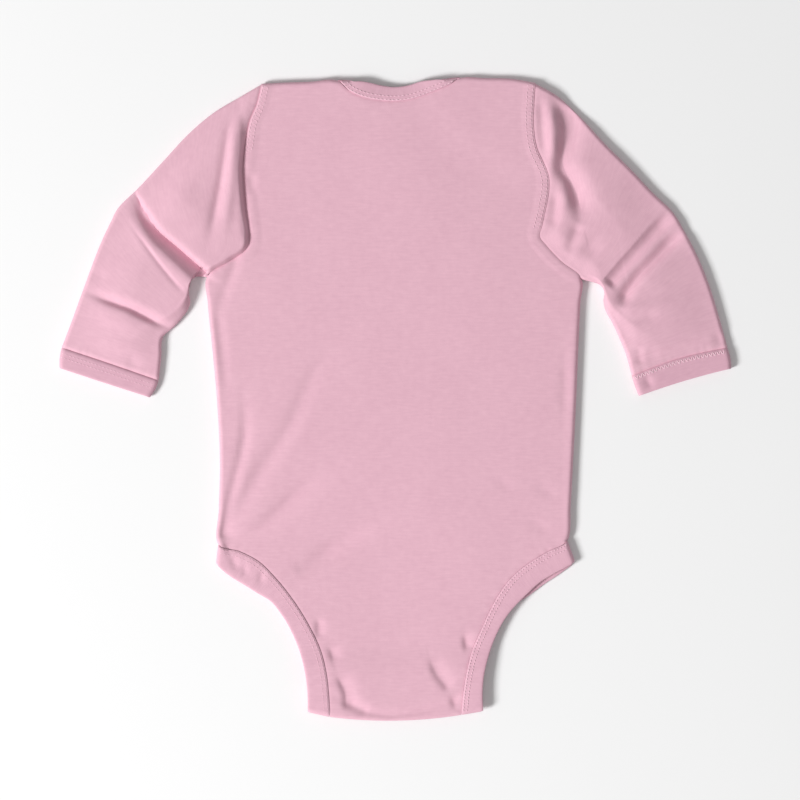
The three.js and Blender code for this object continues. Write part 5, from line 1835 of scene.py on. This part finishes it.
@dataclass
class Studio:
    """Pale table, soft daylight from the left and a camera straight above."""

    centre: Pair = (2.88, -0.64)
    frame_width: float = 512.0
    camera_height: float = 2500.0
    sensor: float = 36.0
    key_power: float = 202.0
    key_from: Triple = (-3.1, -1.5, 2.5)
    key_size: float = 1.2
    fill_power: float = 3.0
    fill_from: Triple = (0.5, 0.3, 2.6)
    fill_size: float = 1.6
    sky: float = 0.34
    table_size: float = 12.0
    table_drop: float = 0.2
    clip: Pair = (0.05, 50.0)

    def light(
        self, name: str, place: Triple, power: float, size: float
    ) -> None:
        """Hang a square lamp that faces the garment.

        Args:
            name: Name of the lamp.
            place: Where it hangs, in metres.
            power: Power in watts.
            size: Side of the square, in metres.
        """
        lamp = bpy.data.lights.new(name, "AREA")
        lamp.energy, lamp.size = power, size
        piece = bpy.data.objects.new(name, lamp)
        piece.location = place
        piece.rotation_mode = "QUATERNION"
        piece.rotation_quaternion = (-Vector(place)).to_track_quat("-Z", "Y")
        bpy.context.scene.collection.objects.link(piece)

    def make(self) -> None:
        """Set up table, lamps, sky and camera."""
        nothing_selected()
        bpy.ops.mesh.primitive_plane_add(
            size=self.table_size, location=(0, 0, -self.table_drop * MM)
        )
        table = bpy.context.object
        table.name = "table_top"
        table.data.materials.append(FloorFinish().make())
        self.light("window", self.key_from, self.key_power, self.key_size)
        self.light("ceiling", self.fill_from, self.fill_power, self.fill_size)
        world = bpy.data.worlds.new("sky")
        world.use_nodes = True
        back = world.node_tree.nodes["Background"]
        back.inputs["Color"].default_value = (1, 1, 1, 1)
        back.inputs["Strength"].default_value = self.sky
        scene = bpy.context.scene
        scene.world = world
        scene.view_settings.view_transform = "Standard"
        lens = bpy.data.cameras.new("above")
        lens.sensor_width = self.sensor
        lens.lens = self.sensor * self.camera_height / self.frame_width
        lens.clip_start, lens.clip_end = self.clip
        camera = bpy.data.objects.new("above", lens)
        camera.location = Vector((*self.centre, self.camera_height)) * MM
        scene.collection.objects.link(camera)
        scene.camera = camera


def running(lines: Iterable[Array], **sizes: float) -> tuple[StitchRow, ...]:
    """Give a row of running stitches along each line."""
    return tuple(StitchRow(line, **sizes) for line in lines)


def seam_threads() -> tuple[dict[str, StitchGroup], dict[str, StitchGroup]]:
    """List the thread of each seam, by the cloth piece that it lies on: above and below.

    Returns:
        Groups seen from above, and groups on the underside.
    """
    neck = np.linspace(NECK_FIRST + 0.15, NECK_LAST - 0.15, 160)
    leg = np.linspace(HIP_ROW + 0.12, CROTCH_ROW - 0.06, 220)
    across = np.linspace(0.04, 1.96, 80)
    above = {"neck_binding_back": StitchGroup(
        "neck_stitches", running(TOP.beside(neck, away) for away in (0.9, 3.3))
    )}
    below = {}
    for side, way in OUTWARD.items():
        left = side == "left"
        line = SIDE[side]
        leg_sizes = {"thick": 0.13} if left else {"pitch": 2.0, "length": 1.3}
        above[f"leg_binding_{side}"] = StitchGroup(f"leg_stitches_{side}", running(
            (line.beside(leg, way * away) for away in (1.2, 3.6)), **leg_sizes
        ))
        below[f"leg_binding_{side}"] = StitchGroup(f"leg_stitches_{side}_front", running(
            (line.beside(leg[:190], way * away) for away in (1.6, 4.4)), from_below=True
        ))
        down = PlanLine(CUFF_SEAM[side]).beside(across, 0)
        above[f"cuff_{side}"] = StitchGroup(f"cuff_stitches_{side}", (
            running((down + (-1.1, -3.4), down + (-1.9, -5.8)), thick=0.15) if left
            else (StitchRow(down + (-0.6, -2.5), Stitch.ZIGZAG, 1.3, spread=2.8, thick=0.27),)
        ))
        hole = np.linspace(0.1, 3.4 if left else 5.6, 90)
        above[f"armhole_{side}"] = StitchGroup(f"armhole_stitches_{side}", (
            *running((body_side(side, hole, away) for away in (1.3, 4.6)), thick=0.18),
            StitchRow(body_side(side, hole, 2.95), Stitch.BARS, spread=2.6, thick=0.12),
        ))
    return above, below


def main() -> None:
    logging.basicConfig(level=logging.INFO, format="%(name)s %(message)s")
    Studio().make()
    jersey = KnitFinish("pink_jersey", (0.80, 0.485, 0.575), (0.70, 0.405, 0.495)).make()
    strip = KnitFinish(
        "pink_binding", (0.80, 0.48, 0.575), (0.69, 0.40, 0.49), along_first=True, bump=0.14
    ).make()
    # The cuffs get a darker copy of the pink knit: painted shade that stands in for the shade the
    # cuffs lie in.
    cuff_painted_shade = KnitFinish("pink_cuff", (0.745, 0.44, 0.53), (0.65, 0.37, 0.46)).make()
    thread = ThreadFinish().make()

    front = FrontPanel("front_panel", Slot.JERSEY, (0.242, 0.388), 0.0696, ("table_top",))
    front.make()
    back = BackPanel("back_panel", Slot.JERSEY, (0.242, 0.462), 0.0800, ("front_panel",))
    back.make()
    sleeves = [
        Sleeve(
            f"sleeve_{side}", Slot.JERSEY, (0.256, 0.215), 0.0221, ("table_top",), side=side,
            puff=puff, shoulder=shoulder,
        )
        for side, puff, shoulder in (("left", 3.7, (3.2, 9.0)), ("right", 2.6, (13.0, 15.0)))
    ]
    cuffs = [
        Cuff(f"cuff_{side}", Slot.BINDING, (0.134, 0.0135), 0.0017, ("table_top",), side=side)
        for side in SIDE
    ]
    legs = [
        LegBand(
            f"leg_binding_{side}", Slot.BINDING, (0.330, 0.0145), 0.0034,
            ("table_top", "front_panel"), side=side, peek=peek,
        )
        for side, peek in (("left", 0.0), ("right", 2.7))
    ]
    neck = NeckBandBack(
        "neck_binding_back", Slot.BINDING, (0.245, 0.010), 0.0019, ("front_panel", "table_top")
    )
    front_neck = NeckBandFront(
        "neck_binding_front", Slot.BINDING, (0.205, 0.010), 0.0014, ("back_panel",)
    )
    front_neck.make(front)
    for piece in (*sleeves, *cuffs, *legs, neck):
        piece.make()

    cloth = {p.name: p for p in (back, front, *sleeves, *cuffs, *legs, neck, front_neck)}
    probe = Probe([p.piece for p in cloth.values()])
    for group in seam_threads():
        for owner, stitches in group.items():
            made = stitches.make(probe, thread)
            cloth.get(owner, back).thread.append(made)
    for piece in cloth.values():
        soft = jersey if piece.slot is Slot.JERSEY else strip
        # Cuffs take the darker knit with painted shade; the other pieces take the jersey or binding
        # knit.
        piece.hand_over(cuff_painted_shade if piece in cuffs else soft)
    Snaps().make(SnapFinish().make())


if __name__ == "__main__":
    main()
